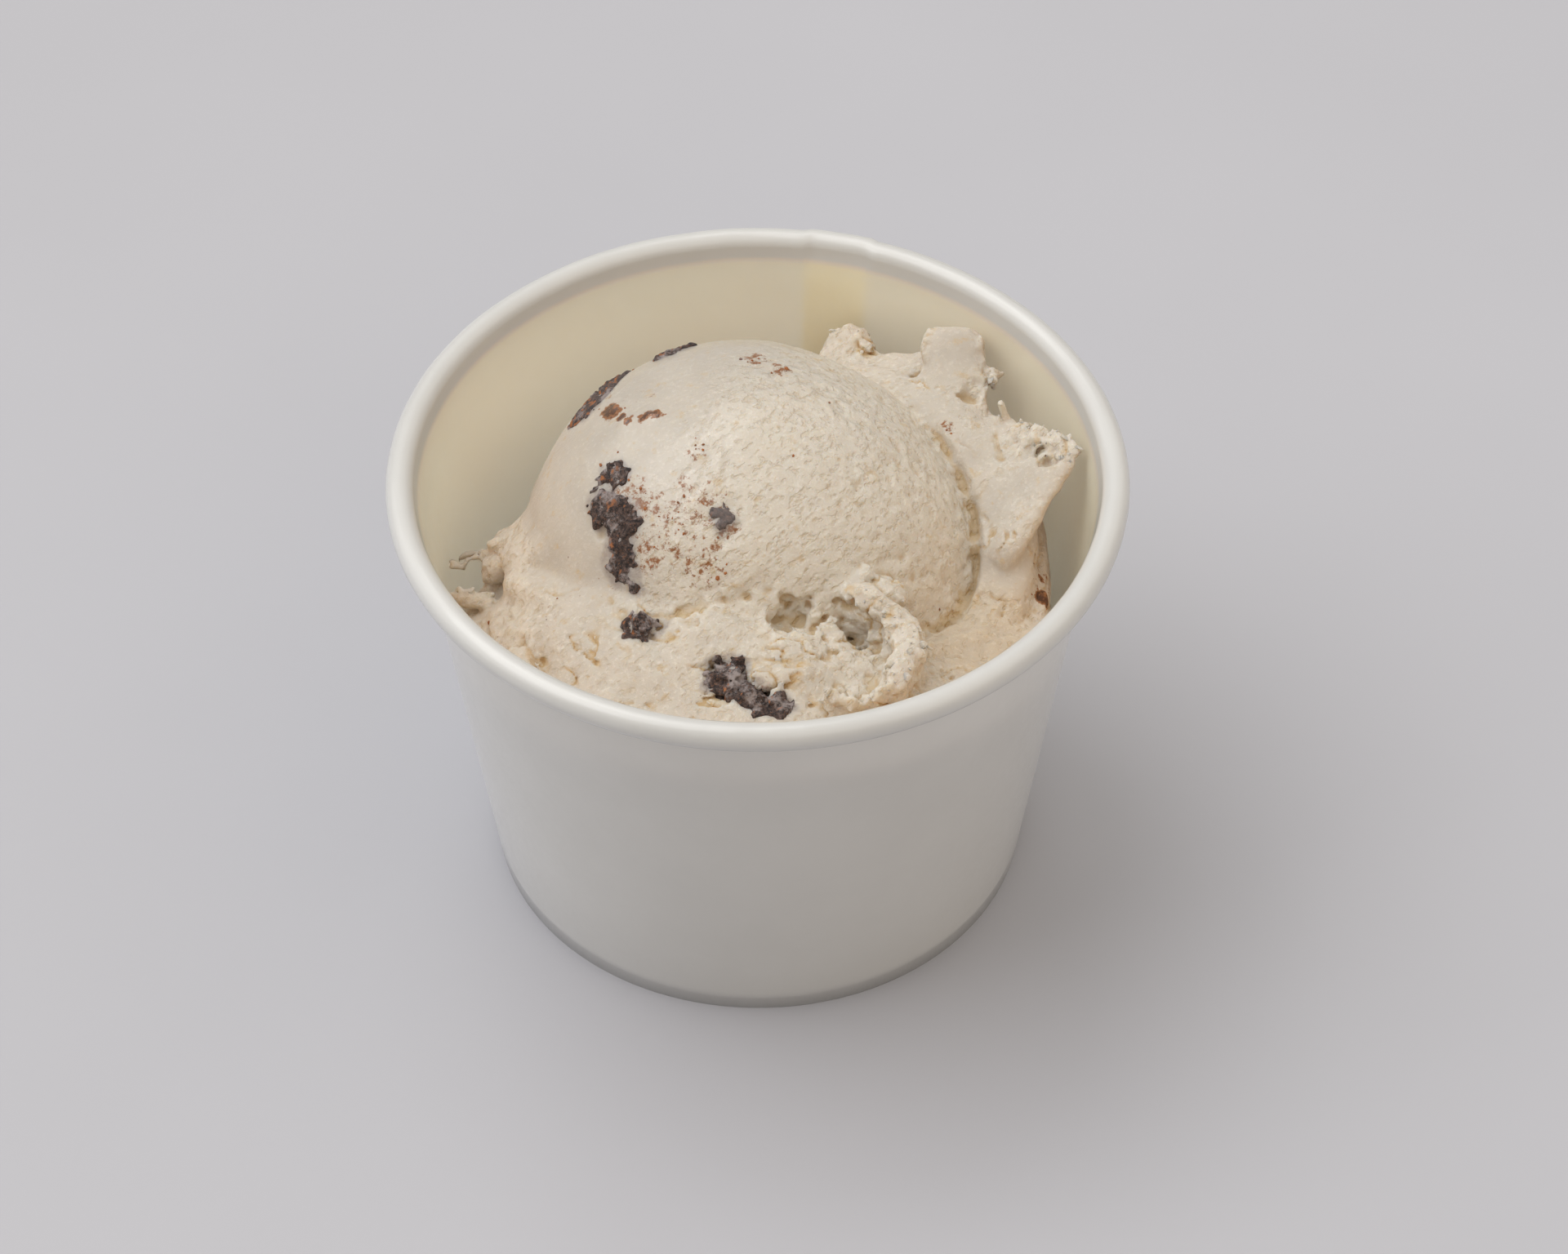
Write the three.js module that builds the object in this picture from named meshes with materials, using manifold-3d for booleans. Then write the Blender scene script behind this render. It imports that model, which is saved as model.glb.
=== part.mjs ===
// Paper cup holding one scoop of cookie ice cream. Millimetres, +Z up, cup axis on Z, table at z = 0.
import * as THREE from "three";
import { mergeVertices } from "three/addons/utils/BufferGeometryUtils.js";
import Module from "manifold-3d";

// Driving sizes of the paper cup
const RIM_DIAMETER = 90;
const CUP_HEIGHT = 61.3;
const BASE_DIAMETER = 67.5;
const NECK_DIAMETER = 82.9;
const NECK_HEIGHT = 57.6;
const NECK_FLARE = 0.6;
const PAPER = 0.5;
const CURL_DIAMETER = 3.4;
const CURL_END_DEG = -135;
const CURL_STEPS = 9;
const HEM_HEIGHT = 6;
const GLUE_GAP = 0.1;
const FLOOR_HEIGHT = 6.9;
const CUP_SIDES = 64;

// Driving sizes of the glued side seam
const SEAM_WIDTH = 8;
const SEAM_ANGLE_DEG = 76;
const SEAM_FOOT = 2;
const SEAM_TOP = 56.4;
const SEAM_STEP = 0.4;

// Driving sizes of the scoop and the bed it is pressed into
const SCOOP_RADIUS = 27.6;
const SCOOP_CENTRE = [-1.96, 5, 40.25];
const SCOOP_DETAIL = 9;
const SCOOP_DENTS = [{ size: 9, height: 0.22, seed: 6 }, { size: 4.5, height: 0.14, seed: 8 }];
const LIP_DIRECTION = [0.93, -0.3, 0.12];
const LIP_HEIGHT = 2.7;
const LIP_SPREAD = 0.6;
const BED_SIDES = 84;
const BED_FLOOR_GAP = 0.3;
const BED_SHOULDER = 0.6;
const BED_SIDE_RINGS = [0.04, 0.35, 0.7, 0.95];
const BED_TOP_RINGS = [0.98, 0.92, 0.86, 0.8, 0.74, 0.68, 0.61, 0.52, 0.3, 0];
const BED_CROWN_SHARE = 0.5;
const BED_CRAGS = [{ size: 6, height: 1.1, seed: 2 }, { size: 3, height: 0.66, seed: 4 }];
const PAPER_CLEARANCE = 0.4;
const POCKET_GAP = 0.32;
const HEADROOM = 20;

// Bed of ice cream under the scoop, by angle from +X: clearance to the paper,
// height of the outer edge, height where it meets the scoop
const BED_ROWS = [
  { deg: 0, gap: 3.2, edge: 46.0, crown: 49.0 },
  { deg: 10, gap: 3.4, edge: 47.0, crown: 49.0 },
  { deg: 24, gap: 4.4, edge: 43.0, crown: 47.0 },
  { deg: 45, gap: 5.0, edge: 40.0, crown: 46.0 },
  { deg: 80, gap: 5.0, edge: 38.0, crown: 44.0 },
  { deg: 110, gap: 6.5, edge: 34.0, crown: 40.0 },
  { deg: 140, gap: 7.5, edge: 32.0, crown: 38.0 },
  { deg: 160, gap: 6.0, edge: 33.0, crown: 38.0 },
  { deg: 174, gap: 1.6, edge: 35.0, crown: 39.0 },
  { deg: 179, gap: 0.6, edge: 37.0, crown: 41.0 },
  { deg: 186, gap: 0.45, edge: 41.4, crown: 46.0 },
  { deg: 198, gap: 0.45, edge: 43.6, crown: 51.0 },
  { deg: 215, gap: 0.45, edge: 47.0, crown: 54.0 },
  { deg: 238, gap: 0.45, edge: 50.0, crown: 54.8 },
  { deg: 270, gap: 0.45, edge: 51.3, crown: 55.5 },
  { deg: 300, gap: 0.45, edge: 50.0, crown: 53.0 },
  { deg: 320, gap: 0.5, edge: 48.0, crown: 48.5 },
  { deg: 335, gap: 1.2, edge: 46.5, crown: 47.0 },
  { deg: 350, gap: 2.6, edge: 45.0, crown: 47.5 },
];

// Slabs of ice cream squeezed out round the scoop: path, width and thickness from root to tip, or
// the reach to the left and right of the path, depth of the tears along the edges, sides and steps
const COLLAR = {
  path: [[25.6, -13, 42.6], [29.4, -7, 45], [30.2, 2, 48.8], [27.4, 10.8, 51.2], [20.8, 18.6, 52],
    [12.8, 24.8, 50], [4, 28.6, 45.6]],
  width: [8.4, 8.4], depth: [7, 6], tear: 0.3, seed: 51, sides: 12, steps: 14,
};
const RIGHT_WING = {
  path: [[22, 3, 46], [28.4, 4, 50], [34.4, 5, 54.8], [40.1, 6.9, 58.2]],
  left: [15, 16, 16.4, 15, 10.4, 7.6, 2.4], right: [3, 6, 10.4, 9, 5.4, 3.2, 0.6],
  depth: [5, 3.4, 1.8], tear: 0.5, seed: 3, sides: 16, steps: 9,
};
const BACK_BLOCK = {
  path: [[21.5, 15, 49.5], [24.4, 22, 53.6], [24.6, 29.2, 57.4]],
  left: [7, 6.6, 4.2, 3.8, 5.4], right: [6.4, 5.6, 4.6, 4, 5.2],
  depth: [5.5, 4.4], tear: 0.4, seed: 11, sides: 12, steps: 7,
};
const BACK_SHARD = {
  path: [[26, 20.6, 54], [29, 22.8, 54.9], [31.4, 24.4, 54]],
  width: [4.6, 1.4], depth: [2.4, 1.1], tear: 0.5, seed: 17, sides: 8, steps: 6,
};
const BACK_SADDLE = {
  path: [[10, 27, 48.6], [16.6, 28.4, 50.4], [22.4, 26.6, 52.4]],
  width: [6, 7], depth: [3.6, 3.6], tear: 0.4, seed: 39, sides: 8, steps: 6,
};
const BACK_FLAP = {
  path: [[9, 23, 46], [11.6, 30.8, 49.6], [13, 35.9, 51.8]],
  left: [5, 6, 4.4, 4.2, 2.6], right: [5, 5, 4, 3.4, 2],
  depth: [5, 3], tear: 0.7, seed: 23, sides: 12, steps: 7,
};
const LEFT_FLAP = {
  path: [[-20, 0.6, 50], [-27, 2.8, 45.2], [-33.4, 4.4, 40.6]],
  width: [17, 13, 6.4], depth: [9, 7.4, 4.4], tear: 0.9, seed: 29, sides: 12, steps: 7,
};
const LEFT_FLAKE = {
  path: [[-26.6, 3.4, 45.6], [-30.2, 4.4, 44.9], [-33.2, 5.2, 44.4]],
  width: [6, 2.6], depth: [2.8, 1.2], tear: 0.7, seed: 35, sides: 8, steps: 6,
};
const LEFT_STRAND = {
  path: [[-31, 4.2, 41], [-34.4, 5.4, 41], [-36.4, 5.6, 40.9], [-37.7, 5, 39.9]],
  width: [2.6, 1.4], depth: [2, 1.2], tear: 0.2, seed: 31, sides: 8, steps: 6,
};
const LEFT_COVE = {
  path: [[-29, -1.6, 43.4], [-25, -7.2, 46.6], [-18.6, -15, 50], [-9, -19.6, 52.4]],
  width: [9, 8, 6], depth: [7, 6, 5], tear: 0.2, seed: 47, sides: 10, steps: 9,
};
const FRONT_ROLL = {
  path: [[-9, -22.4, 51.6], [-1, -24.8, 52.2], [7, -24.4, 51.8]],
  width: [9.4, 8], depth: [4.6, 4.4], tear: 0.6, seed: 43, sides: 10, steps: 8,
};
const FRONT_CURL = {
  path: [[10, -15.5, 54.6], [15.8, -19.2, 53.8], [18.2, -24.2, 52.8], [15.2, -28.8, 52.2], [10, -31.8, 51.8]],
  width: [4.2, 3.4], depth: [6.4, 5.4], tear: 0.8, seed: 37, sides: 10, steps: 11,
};
const FRONT_SHARD = {
  path: [[8.4, -30.6, 50], [8.9, -31, 52.5], [9.4, -31.2, 54.6]],
  width: [4.4, 1.6], depth: [2.2, 1], tear: 0.3, seed: 41, sides: 8, steps: 5,
};
const SLABS = [COLLAR, RIGHT_WING, BACK_BLOCK, BACK_SHARD, BACK_SADDLE, BACK_FLAP, LEFT_FLAP, LEFT_FLAKE,
  LEFT_STRAND, LEFT_COVE, FRONT_ROLL, FRONT_CURL, FRONT_SHARD];
const SLAB_SQUARENESS = 0.7;
const SLAB_END_SHARE = 0.65;
const SLAB_TEAR_SIZES = [3.2, 1.7];

// Groove in the bed under the lip on the right of the scoop, cut as a slab
const LIP_GROOVE = {
  path: [[28.8, 4, 49.4], [28.6, -5, 47.4], [24.6, -12.4, 47.6], [19, -16.4, 49.6], [14.8, -18.2, 52.4]],
  width: [2.2, 3.6], depth: [2.6, 3.6], tear: 0, seed: 1, sides: 8, steps: 10,
};

// Hollows torn in the ice cream: centre and half sizes
const HOLLOWS = [
  { at: [4.3, -19.4, 55.6], size: [2.9, 1.9, 2.2] },
  { at: [11.6, -21.2, 55], size: [1.7, 3.2, 3.6] },
  { at: [12.2, -27.6, 54.2], size: [2.6, 2.6, 3.4] },
  { at: [-11, -20.6, 55.4], size: [2.4, 1.3, 1.2] },
  { at: [-31.4, -1, 41.6], size: [3.4, 2.2, 2.4] },
  { at: [34.6, 8, 55.8], size: [1.2, 0.8, 4] },
  { at: [27.4, 19.4, 56.4], size: [1.4, 1.2, 2] },
];
const HOLLOW_ROUGHNESS = 0.16;

// Cookie pieces bedded in the ice cream: lumps given by centre, half sizes and turn about Z
const COOKIES = [
  { name: "cookie_streak", onScoop: true, lumps: [
    { at: [-16.9, -2.4, 60.6], size: [1.6, 2.3, 2.4], turn: 0.4, seed: 13 },
    { at: [-18.4, -4.8, 58.6], size: [1.8, 2.8, 2.8], turn: 0.3, seed: 5 },
    { at: [-15.9, -6.8, 59], size: [2.3, 3.4, 2.9], turn: 0.3, seed: 7 },
    { at: [-16.2, -10.2, 56.4], size: [2.1, 2.3, 3], turn: 0.1, seed: 9 },
    { at: [-15.4, -12.8, 54.8], size: [1.2, 2.7, 2.6], turn: 0.4, seed: 11 }] },
  { name: "cookie_low", lumps: [{ at: [-13.6, -19.4, 54.2], size: [2, 1.6, 1.8], turn: 0.2, seed: 15 }] },
  { name: "cookie_front", lumps: [
    { at: [-3.8, -27.2, 52.8], size: [2.1, 2.2, 1.8], turn: -0.6, seed: 19 },
    { at: [-0.6, -29.6, 52], size: [2.7, 1.7, 1.8], turn: -0.5, seed: 21 },
    { at: [1.8, -31, 51.4], size: [1.9, 1.4, 1.8], turn: -0.6, seed: 23 }] },
  { name: "cookie_left", onScoop: true, lumps: [
    { at: [-19, 15.4, 57.4], size: [2, 4.4, 2.8], turn: -0.6, seed: 25 }] },
  { name: "cookie_top", onScoop: true, lumps: [
    { at: [-10, 19.9, 60.4], size: [2.9, 1.9, 1.9], turn: 0.4, seed: 27 }] },
  { name: "cookie_middle", onScoop: true, lumps: [
    { at: [-4.1, -10, 62.2], size: [1.5, 1.9, 1.8], turn: 0.2, seed: 33 }] },
];
const COOKIE_PROUD = 0.45;
const COOKIE_ROUGHNESS = 0.34;
const COOKIE_BUMP = 0.7;

// Cookie crumbs fused to the ice cream: centre and radius
const CRUMBS = [
  { at: [-7.2, -8.6, 63.4], radius: 0.7 }, { at: [-9.6, -12.4, 60.6], radius: 0.6 },
  { at: [-12.8, 4.7, 65.4], radius: 0.9 }, { at: [-16, 5.3, 63.8], radius: 0.9 },
  { at: [-17.2, 8.9, 62.7], radius: 0.9 }, { at: [2.7, 11.5, 66.5], radius: 0.7 },
  { at: [-0.2, 14.2, 66], radius: 0.6 }, { at: [35.3, -1.8, 41], radius: 1.3 },
  { at: [-20.6, 2.2, 60], radius: 0.7 }, { at: [-8.6, -15.2, 57.6], radius: 0.6 },
];

// Looks
const PAPER_LOOK = { color: 0xe9e7e2, roughness: 0.6, metalness: 0 };
const CREAM_LOOK = { color: 0xf0e4cf, roughness: 0.55, metalness: 0 };
const COOKIE_LOOK = { color: 0x3d2a22, roughness: 0.9, metalness: 0 };

const wasm = await Module();
wasm.setup();

const { degToRad, radToDeg, lerp, smoothstep, clamp } = THREE.MathUtils;
const UP = new THREE.Vector3(0, 0, 1);
const RIGHT = new THREE.Vector3(1, 0, 0);

/** Outside radius of the paper wall at a height. */
function wallOutside(z) {
  return lerp(BASE_DIAMETER / 2, NECK_DIAMETER / 2, z / NECK_HEIGHT);
}

/** Radius half way through the paper of the wall at a height. */
function wallMiddle(z) {
  return wallOutside(z) - PAPER / 2;
}

/** Inside radius of the paper wall at a height. */
function wallInside(z) {
  return wallOutside(z) - PAPER;
}

/** Even value between 0 and 1 for a lattice point. */
function lattice(i, j, k, seed) {
  const s = Math.sin(i * 127.1 + j * 311.7 + k * 74.7 + seed * 53.3) * 43758.5453;
  return s - Math.floor(s);
}

/** Smooth noise between -1 and 1 with lumps of a given size. */
function noise(p, size, seed) {
  const q = p.clone().divideScalar(size);
  const cell = q.clone().floor();
  const inside = q.sub(cell);
  const ease = inside.toArray().map((t) => t * t * (3 - 2 * t));
  let sum = 0;
  for (let corner = 0; corner < 8; corner += 1) {
    const step = [corner & 1, (corner >> 1) & 1, (corner >> 2) & 1];
    const weight = step.reduce((w, s, n) => w * (s ? ease[n] : 1 - ease[n]), 1);
    sum += weight * lattice(cell.x + step[0], cell.y + step[1], cell.z + step[2], seed);
  }
  return sum * 2 - 1;
}

/** Height of a relief made of layers of noise. */
function relief(p, layers) {
  return layers.reduce((sum, { size, height, seed }) => sum + height * noise(p, size, seed), 0);
}

/** Value at a share of the way along a short list of even steps. */
function along(values, share) {
  const at = share * (values.length - 1);
  const from = Math.min(Math.floor(at), values.length - 2);
  return lerp(values[from], values[from + 1], at - from);
}

/** Clearance and heights of the bed at an angle, eased between the rows on either side. */
function bedRow(deg) {
  const a = ((deg % 360) + 360) % 360;
  const last = BED_ROWS.findLastIndex((row) => row.deg <= a);
  const from = BED_ROWS[last];
  const to = BED_ROWS[last + 1] ?? { ...BED_ROWS[0], deg: 360 };
  const t = smoothstep(a, from.deg, to.deg);
  return {
    gap: lerp(from.gap, to.gap, t),
    edge: lerp(from.edge, to.edge, t),
    crown: lerp(from.crown, to.crown, t),
  };
}

/** Solid from a three.js geometry. */
function solid(geometry) {
  const bare = geometry.clone();
  bare.deleteAttribute("normal");
  bare.deleteAttribute("uv");
  const merged = mergeVertices(bare, 1e-4);
  const mesh = new wasm.Mesh({
    numProp: 3,
    vertProperties: new Float32Array(merged.attributes.position.array),
    triVerts: new Uint32Array(merged.index.array),
  });
  return new wasm.Manifold(mesh);
}

/** Named mesh from a solid. */
function part(name, body, look) {
  const { vertProperties, triVerts } = body.getMesh();
  const geometry = new THREE.BufferGeometry();
  geometry.setAttribute("position", new THREE.BufferAttribute(new Float32Array(vertProperties), 3));
  geometry.setIndex(new THREE.BufferAttribute(new Uint32Array(triVerts), 1));
  geometry.computeVertexNormals();
  const mesh = new THREE.Mesh(geometry, new THREE.MeshStandardMaterial(look));
  mesh.name = name;
  return mesh;
}

/** Geometry with every vertex moved by a function. */
function reshape(geometry, move) {
  const place = geometry.attributes.position;
  const p = new THREE.Vector3();
  for (let n = 0; n < place.count; n += 1) {
    p.fromBufferAttribute(place, n);
    move(p);
    place.setXYZ(n, p.x, p.y, p.z);
  }
  return geometry;
}

/** Geometry turned about Z from a profile of [radius, height] points. */
function turned(profile, sides) {
  const points = profile.map(([r, z]) => new THREE.Vector2(r, z));
  return new THREE.LatheGeometry(points, sides).rotateX(Math.PI / 2);
}

/** Closed outline of a strip of paper that follows a line of [radius, height] points. */
function paperOutline(line) {
  const points = line.map(([r, z]) => new THREE.Vector2(r, z));
  const offsets = points.map((p, n) => {
    const before = points[Math.max(n - 1, 0)];
    const after = points[Math.min(n + 1, points.length - 1)];
    const arriving = n > 0 ? p.clone().sub(before).normalize() : after.clone().sub(p).normalize();
    const leaving = n < points.length - 1 ? after.clone().sub(p).normalize() : arriving;
    const middle = arriving.clone().add(leaving).normalize();
    const reach = PAPER / 2 / middle.dot(arriving);
    return new THREE.Vector2(-middle.y, middle.x).multiplyScalar(reach);
  });
  const left = points.map((p, n) => [p.x + offsets[n].x, p.y + offsets[n].y]);
  const right = points.map((p, n) => [p.x - offsets[n].x, p.y - offsets[n].y]);
  return [...right, ...left.reverse(), right[0]];
}

/** Side wall: hem folded in at the foot, sloping wall, curl at the rim and the glued seam. */
function cupWall() {
  const fold = 2 * (PAPER + GLUE_GAP);
  const roll = (CURL_DIAMETER - PAPER) / 2;
  const rollRadius = RIM_DIAMETER / 2 - CURL_DIAMETER / 2;
  const rollHeight = CUP_HEIGHT - CURL_DIAMETER / 2;
  const foot = PAPER / 2;
  const neck = NECK_HEIGHT - NECK_FLARE;
  const line = [
    [wallMiddle(HEM_HEIGHT) - fold, HEM_HEIGHT],
    [wallMiddle(foot) - fold, foot],
    [wallMiddle(foot), foot],
    [wallMiddle(neck), neck],
  ];
  for (let n = 0; n <= CURL_STEPS; n += 1) {
    const a = degToRad(lerp(180, CURL_END_DEG, n / CURL_STEPS));
    line.push([rollRadius + roll * Math.cos(a), rollHeight + roll * Math.sin(a)]);
  }
  return solid(turned(paperOutline(line), CUP_SIDES)).add(seamFlap());
}

/** Overlap of the glued side seam, a strip bent round the outside of the wall. */
function seamFlap() {
  const strip = new THREE.BoxGeometry(SEAM_WIDTH, PAPER, SEAM_TOP - SEAM_FOOT, 4, 1, 6);
  return solid(reshape(strip, (p) => {
    const z = p.z + (SEAM_FOOT + SEAM_TOP) / 2;
    const radius = wallMiddle(z) + SEAM_STEP + p.y;
    const angle = degToRad(SEAM_ANGLE_DEG) + p.x / (NECK_DIAMETER / 2);
    p.set(radius * Math.cos(angle), radius * Math.sin(angle), z);
  }));
}

/** Recessed floor disc with the skirt that the hem holds. */
function cupBase() {
  const foot = PAPER + GLUE_GAP;
  const outside = (z) => wallInside(z) - GLUE_GAP;
  return solid(turned([
    [0, FLOOR_HEIGHT - PAPER],
    [outside(FLOOR_HEIGHT) - PAPER, FLOOR_HEIGHT - PAPER],
    [outside(foot) - PAPER, foot],
    [outside(foot), foot],
    [outside(FLOOR_HEIGHT), FLOOR_HEIGHT],
    [0, FLOOR_HEIGHT],
  ], CUP_SIDES));
}

/** Bed that fills the cup to the craggy ledge round the scoop. */
function bed() {
  const low = FLOOR_HEIGHT + BED_FLOOR_GAP;
  const top = 2;
  const profile = [
    [0, 0],
    [1 - BED_SIDE_RINGS[0], 0],
    ...BED_SIDE_RINGS.map((h) => [1, h]),
    ...BED_TOP_RINGS.map((r) => [r, top]),
  ];
  return solid(reshape(turned(profile, BED_SIDES), (p) => {
    const share = Math.hypot(p.x, p.y);
    const angle = Math.atan2(p.y, p.x);
    const row = bedRow(radToDeg(angle));
    const onTop = p.z === top;
    const inward = smoothstep(1 - share, 0, 1 - BED_CROWN_SHARE);
    const z = onTop ? lerp(row.edge, row.crown, inward) : lerp(low, row.edge - BED_SHOULDER, p.z);
    const radius = share * (wallInside(z) - row.gap);
    p.set(radius * Math.cos(angle), radius * Math.sin(angle), z);
    if (onTop && share > 0) {
      p.z += relief(p, BED_CRAGS);
    }
  }));
}

/** Scoop with shallow dents and a lip standing out on its right, grown all round. */
function scoop(grow) {
  const lipSide = new THREE.Vector3(...LIP_DIRECTION).normalize();
  const centre = new THREE.Vector3(...SCOOP_CENTRE);
  return solid(reshape(new THREE.IcosahedronGeometry(1, SCOOP_DETAIL), (p) => {
    const facing = p.clone().normalize();
    const off = Math.acos(clamp(facing.dot(lipSide), -1, 1));
    const lip = LIP_HEIGHT * Math.exp(-((off / LIP_SPREAD) ** 2));
    const dent = relief(facing.clone().multiplyScalar(SCOOP_RADIUS), SCOOP_DENTS);
    p.copy(facing).multiplyScalar(SCOOP_RADIUS + lip + dent + grow).add(centre);
  }));
}

/** Slab of ice cream bent along a path, with a squarish section and torn edges. */
function slab({ path, width, left, right, depth, tear, seed, sides, steps }) {
  const halves = width?.map((w) => w / 2);
  const curve = new THREE.CatmullRomCurve3(path.map((p) => new THREE.Vector3(...p)));
  const square = (v) => Math.sign(v) * Math.abs(v) ** SLAB_SQUARENESS;
  const [coarse, fine] = SLAB_TEAR_SIZES;
  return solid(reshape(new THREE.CylinderGeometry(1, 1, 1, sides, steps), (p) => {
    const share = p.y + 0.5;
    const tangent = curve.getTangent(share);
    const level = tangent.clone().cross(UP);
    const sideways = (level.length() > 0.2 ? level : RIGHT.clone()).normalize();
    const raised = sideways.clone().cross(tangent);
    const taper = lerp(1, Math.sqrt(1 - Math.abs(2 * share - 1) ** 10), 1 - SLAB_END_SHARE);
    const wide = square(p.x) * along((p.x < 0 ? left : right) ?? halves, share) * taper;
    const deep = square(p.z) * along(depth, share) * 0.5 * taper;
    p.copy(curve.getPoint(share)).addScaledVector(sideways, wide).addScaledVector(raised, deep);
    const torn = tear * (noise(p, coarse, seed) + 0.6 * noise(p, fine, seed + 1));
    const bumped = 0.4 * tear * noise(p, coarse, seed + 2);
    p.addScaledVector(sideways, torn * clamp(wide, -1, 1));
    p.addScaledVector(raised, bumped * Math.sign(deep));
  }));
}

/** Torn hollow, a rough stretched ball to cut away. */
function hollow({ at, size }) {
  const stretch = new THREE.Vector3(...size);
  const centre = new THREE.Vector3(...at);
  return solid(reshape(new THREE.IcosahedronGeometry(1, 1), (p) => {
    p.multiplyScalar(1 + HOLLOW_ROUGHNESS * noise(p, 1, at.length)).multiply(stretch).add(centre);
  }));
}

/** Cookie lump, grown all round by a clearance. */
function lump({ at, size, turn, seed }, grow) {
  const centre = new THREE.Vector3(...at);
  return solid(reshape(new THREE.IcosahedronGeometry(1, 1), (p) => {
    const rough = 1 + COOKIE_ROUGHNESS * noise(p, COOKIE_BUMP, seed);
    const [x, y, z] = size.map((half) => half * rough + grow);
    p.set(p.x * x, p.y * y, p.z * z).applyAxisAngle(UP, turn).add(centre);
  }));
}

/** Cookie piece made of one or more lumps, worn almost flush where it lies in the scoop. */
function cookie({ lumps, onScoop }, grow) {
  const whole = lumps.map((l) => lump(l, grow)).reduce((sum, next) => sum.add(next));
  return onScoop ? whole.intersect(scoop(COOKIE_PROUD + grow)) : whole;
}

/** Crumb stuck in the surface of the ice cream. */
function crumb({ at, radius }) {
  return solid(new THREE.IcosahedronGeometry(radius, 0).translate(...at));
}

/** Space that the ice cream may fill without touching the paper. */
function insideCup() {
  const low = FLOOR_HEIGHT + BED_FLOOR_GAP;
  const high = CUP_HEIGHT + HEADROOM;
  const reach = (z) => wallInside(z) - PAPER_CLEARANCE;
  return solid(turned([
    [0, low],
    [reach(low), low],
    [reach(NECK_HEIGHT), NECK_HEIGHT],
    [reach(NECK_HEIGHT), high],
    [0, high],
  ], CUP_SIDES));
}

/** One fused mass of ice cream with its hollows and the pockets of the cookie pieces. */
function iceCream() {
  const grown = [scoop(0), ...SLABS.map(slab)];
  const bedded = grown.reduce((sum, next) => sum.add(next), bed().subtract(slab(LIP_GROOVE)));
  const torn = HOLLOWS.map(hollow).reduce((sum, next) => sum.subtract(next), bedded);
  const crumbed = CRUMBS.map(crumb).reduce((sum, next) => sum.add(next), torn);
  const held = crumbed.intersect(insideCup());
  const whole = COOKIES.reduce((sum, next) => sum.subtract(cookie(next, POCKET_GAP)), held);
  const pieces = whole.decompose();
  return pieces.reduce((best, next) => (next.volume() > best.volume() ? next : best));
}

const cup = new THREE.Group();
cup.name = "ice_cream_cup";
cup.add(part("cup_wall", cupWall(), PAPER_LOOK));
cup.add(part("cup_base", cupBase(), PAPER_LOOK));
cup.add(part("ice_cream", iceCream(), CREAM_LOOK));
COOKIES.forEach((piece) => cup.add(part(piece.name, cookie(piece, 0), COOKIE_LOOK)));

export default cup;
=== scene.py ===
"""Dresses the packed ice cream cup with paper, ice cream and cookie, and sets a studio round it."""

import logging
import math
from collections.abc import Sequence
from dataclasses import dataclass, field
from enum import Enum, IntEnum
from typing import Any

import bmesh
import bpy
import numpy as np
import openvdb
from mathutils import Euler, Matrix, Vector


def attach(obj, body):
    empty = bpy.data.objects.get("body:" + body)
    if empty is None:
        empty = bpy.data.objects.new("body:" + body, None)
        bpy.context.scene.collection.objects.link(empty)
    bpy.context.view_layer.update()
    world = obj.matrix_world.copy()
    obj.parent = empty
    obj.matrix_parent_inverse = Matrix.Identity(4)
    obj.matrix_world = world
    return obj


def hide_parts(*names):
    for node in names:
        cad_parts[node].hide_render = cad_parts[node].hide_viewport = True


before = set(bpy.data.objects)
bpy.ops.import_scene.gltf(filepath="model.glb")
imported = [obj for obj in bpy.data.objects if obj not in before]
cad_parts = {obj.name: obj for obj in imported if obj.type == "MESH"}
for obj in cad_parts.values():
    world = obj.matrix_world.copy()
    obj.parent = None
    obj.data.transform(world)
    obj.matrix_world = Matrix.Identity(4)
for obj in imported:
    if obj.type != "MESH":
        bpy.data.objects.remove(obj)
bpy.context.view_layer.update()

LOG = logging.getLogger("ice_cream_cup")
ROOT = "root"
MM = 0.001
UP = Vector((0.0, 0.0, 1.0))
DRAG = (0.74, 0.48, 0.47)
GROUP_WEIGHT = 1000.0


class Slot(str, Enum):
    """Material slots of the record."""

    PAPER = "paper"
    ICE_CREAM = "ice_cream"
    COOKIE = "cookie"


class Mark(str, Enum):
    """Vertex attributes that the finishes read."""

    INNER = "inner"
    # Marks where the finish paints shade as a golden tint: creases, hollows, cracks and the right front of
    # the bed.
    HOLLOW_SHADE = "hollow"
    CRISP = "crisp"
    STAIN = "stain"
    WET = "wet"
    CRUMBS = "crumbs"
    ROUGH = "rough"
    HAZE = "haze"
    TONE = "tone"


class Seed(IntEnum):
    """Seeds of the noise that roughens each kind of surface."""

    SCOOP_EDGE = 3
    UNDERCUT = 5
    SCOOP = 7
    FLAKES = 11
    CRACKS = 19
    BED = 23
    MARKS = 31
    COOKIES = 40


def colour(red: float, green: float, blue: float) -> tuple[float, float, float, float]:
    """Linear colour from red, green and blue as a screen shows them, 0 to 255.

    Args:
        red: Red.
        green: Green.
        blue: Blue.

    Returns:
        Red, green, blue and a full alpha, each from 0 to 1.
    """
    shown = [value / 255.0 for value in (red, green, blue)]
    linear = [v / 12.92 if v <= 0.04045 else ((v + 0.055) / 1.055) ** 2.4 for v in shown]
    return (*linear, 1.0)


def smooth(low: float, high: float, values: np.ndarray) -> np.ndarray:
    """Eased ramp from 0 at low to 1 at high."""
    t = np.clip((values - low) / (high - low), 0.0, 1.0)
    return t * t * (3.0 - 2.0 * t)


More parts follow.
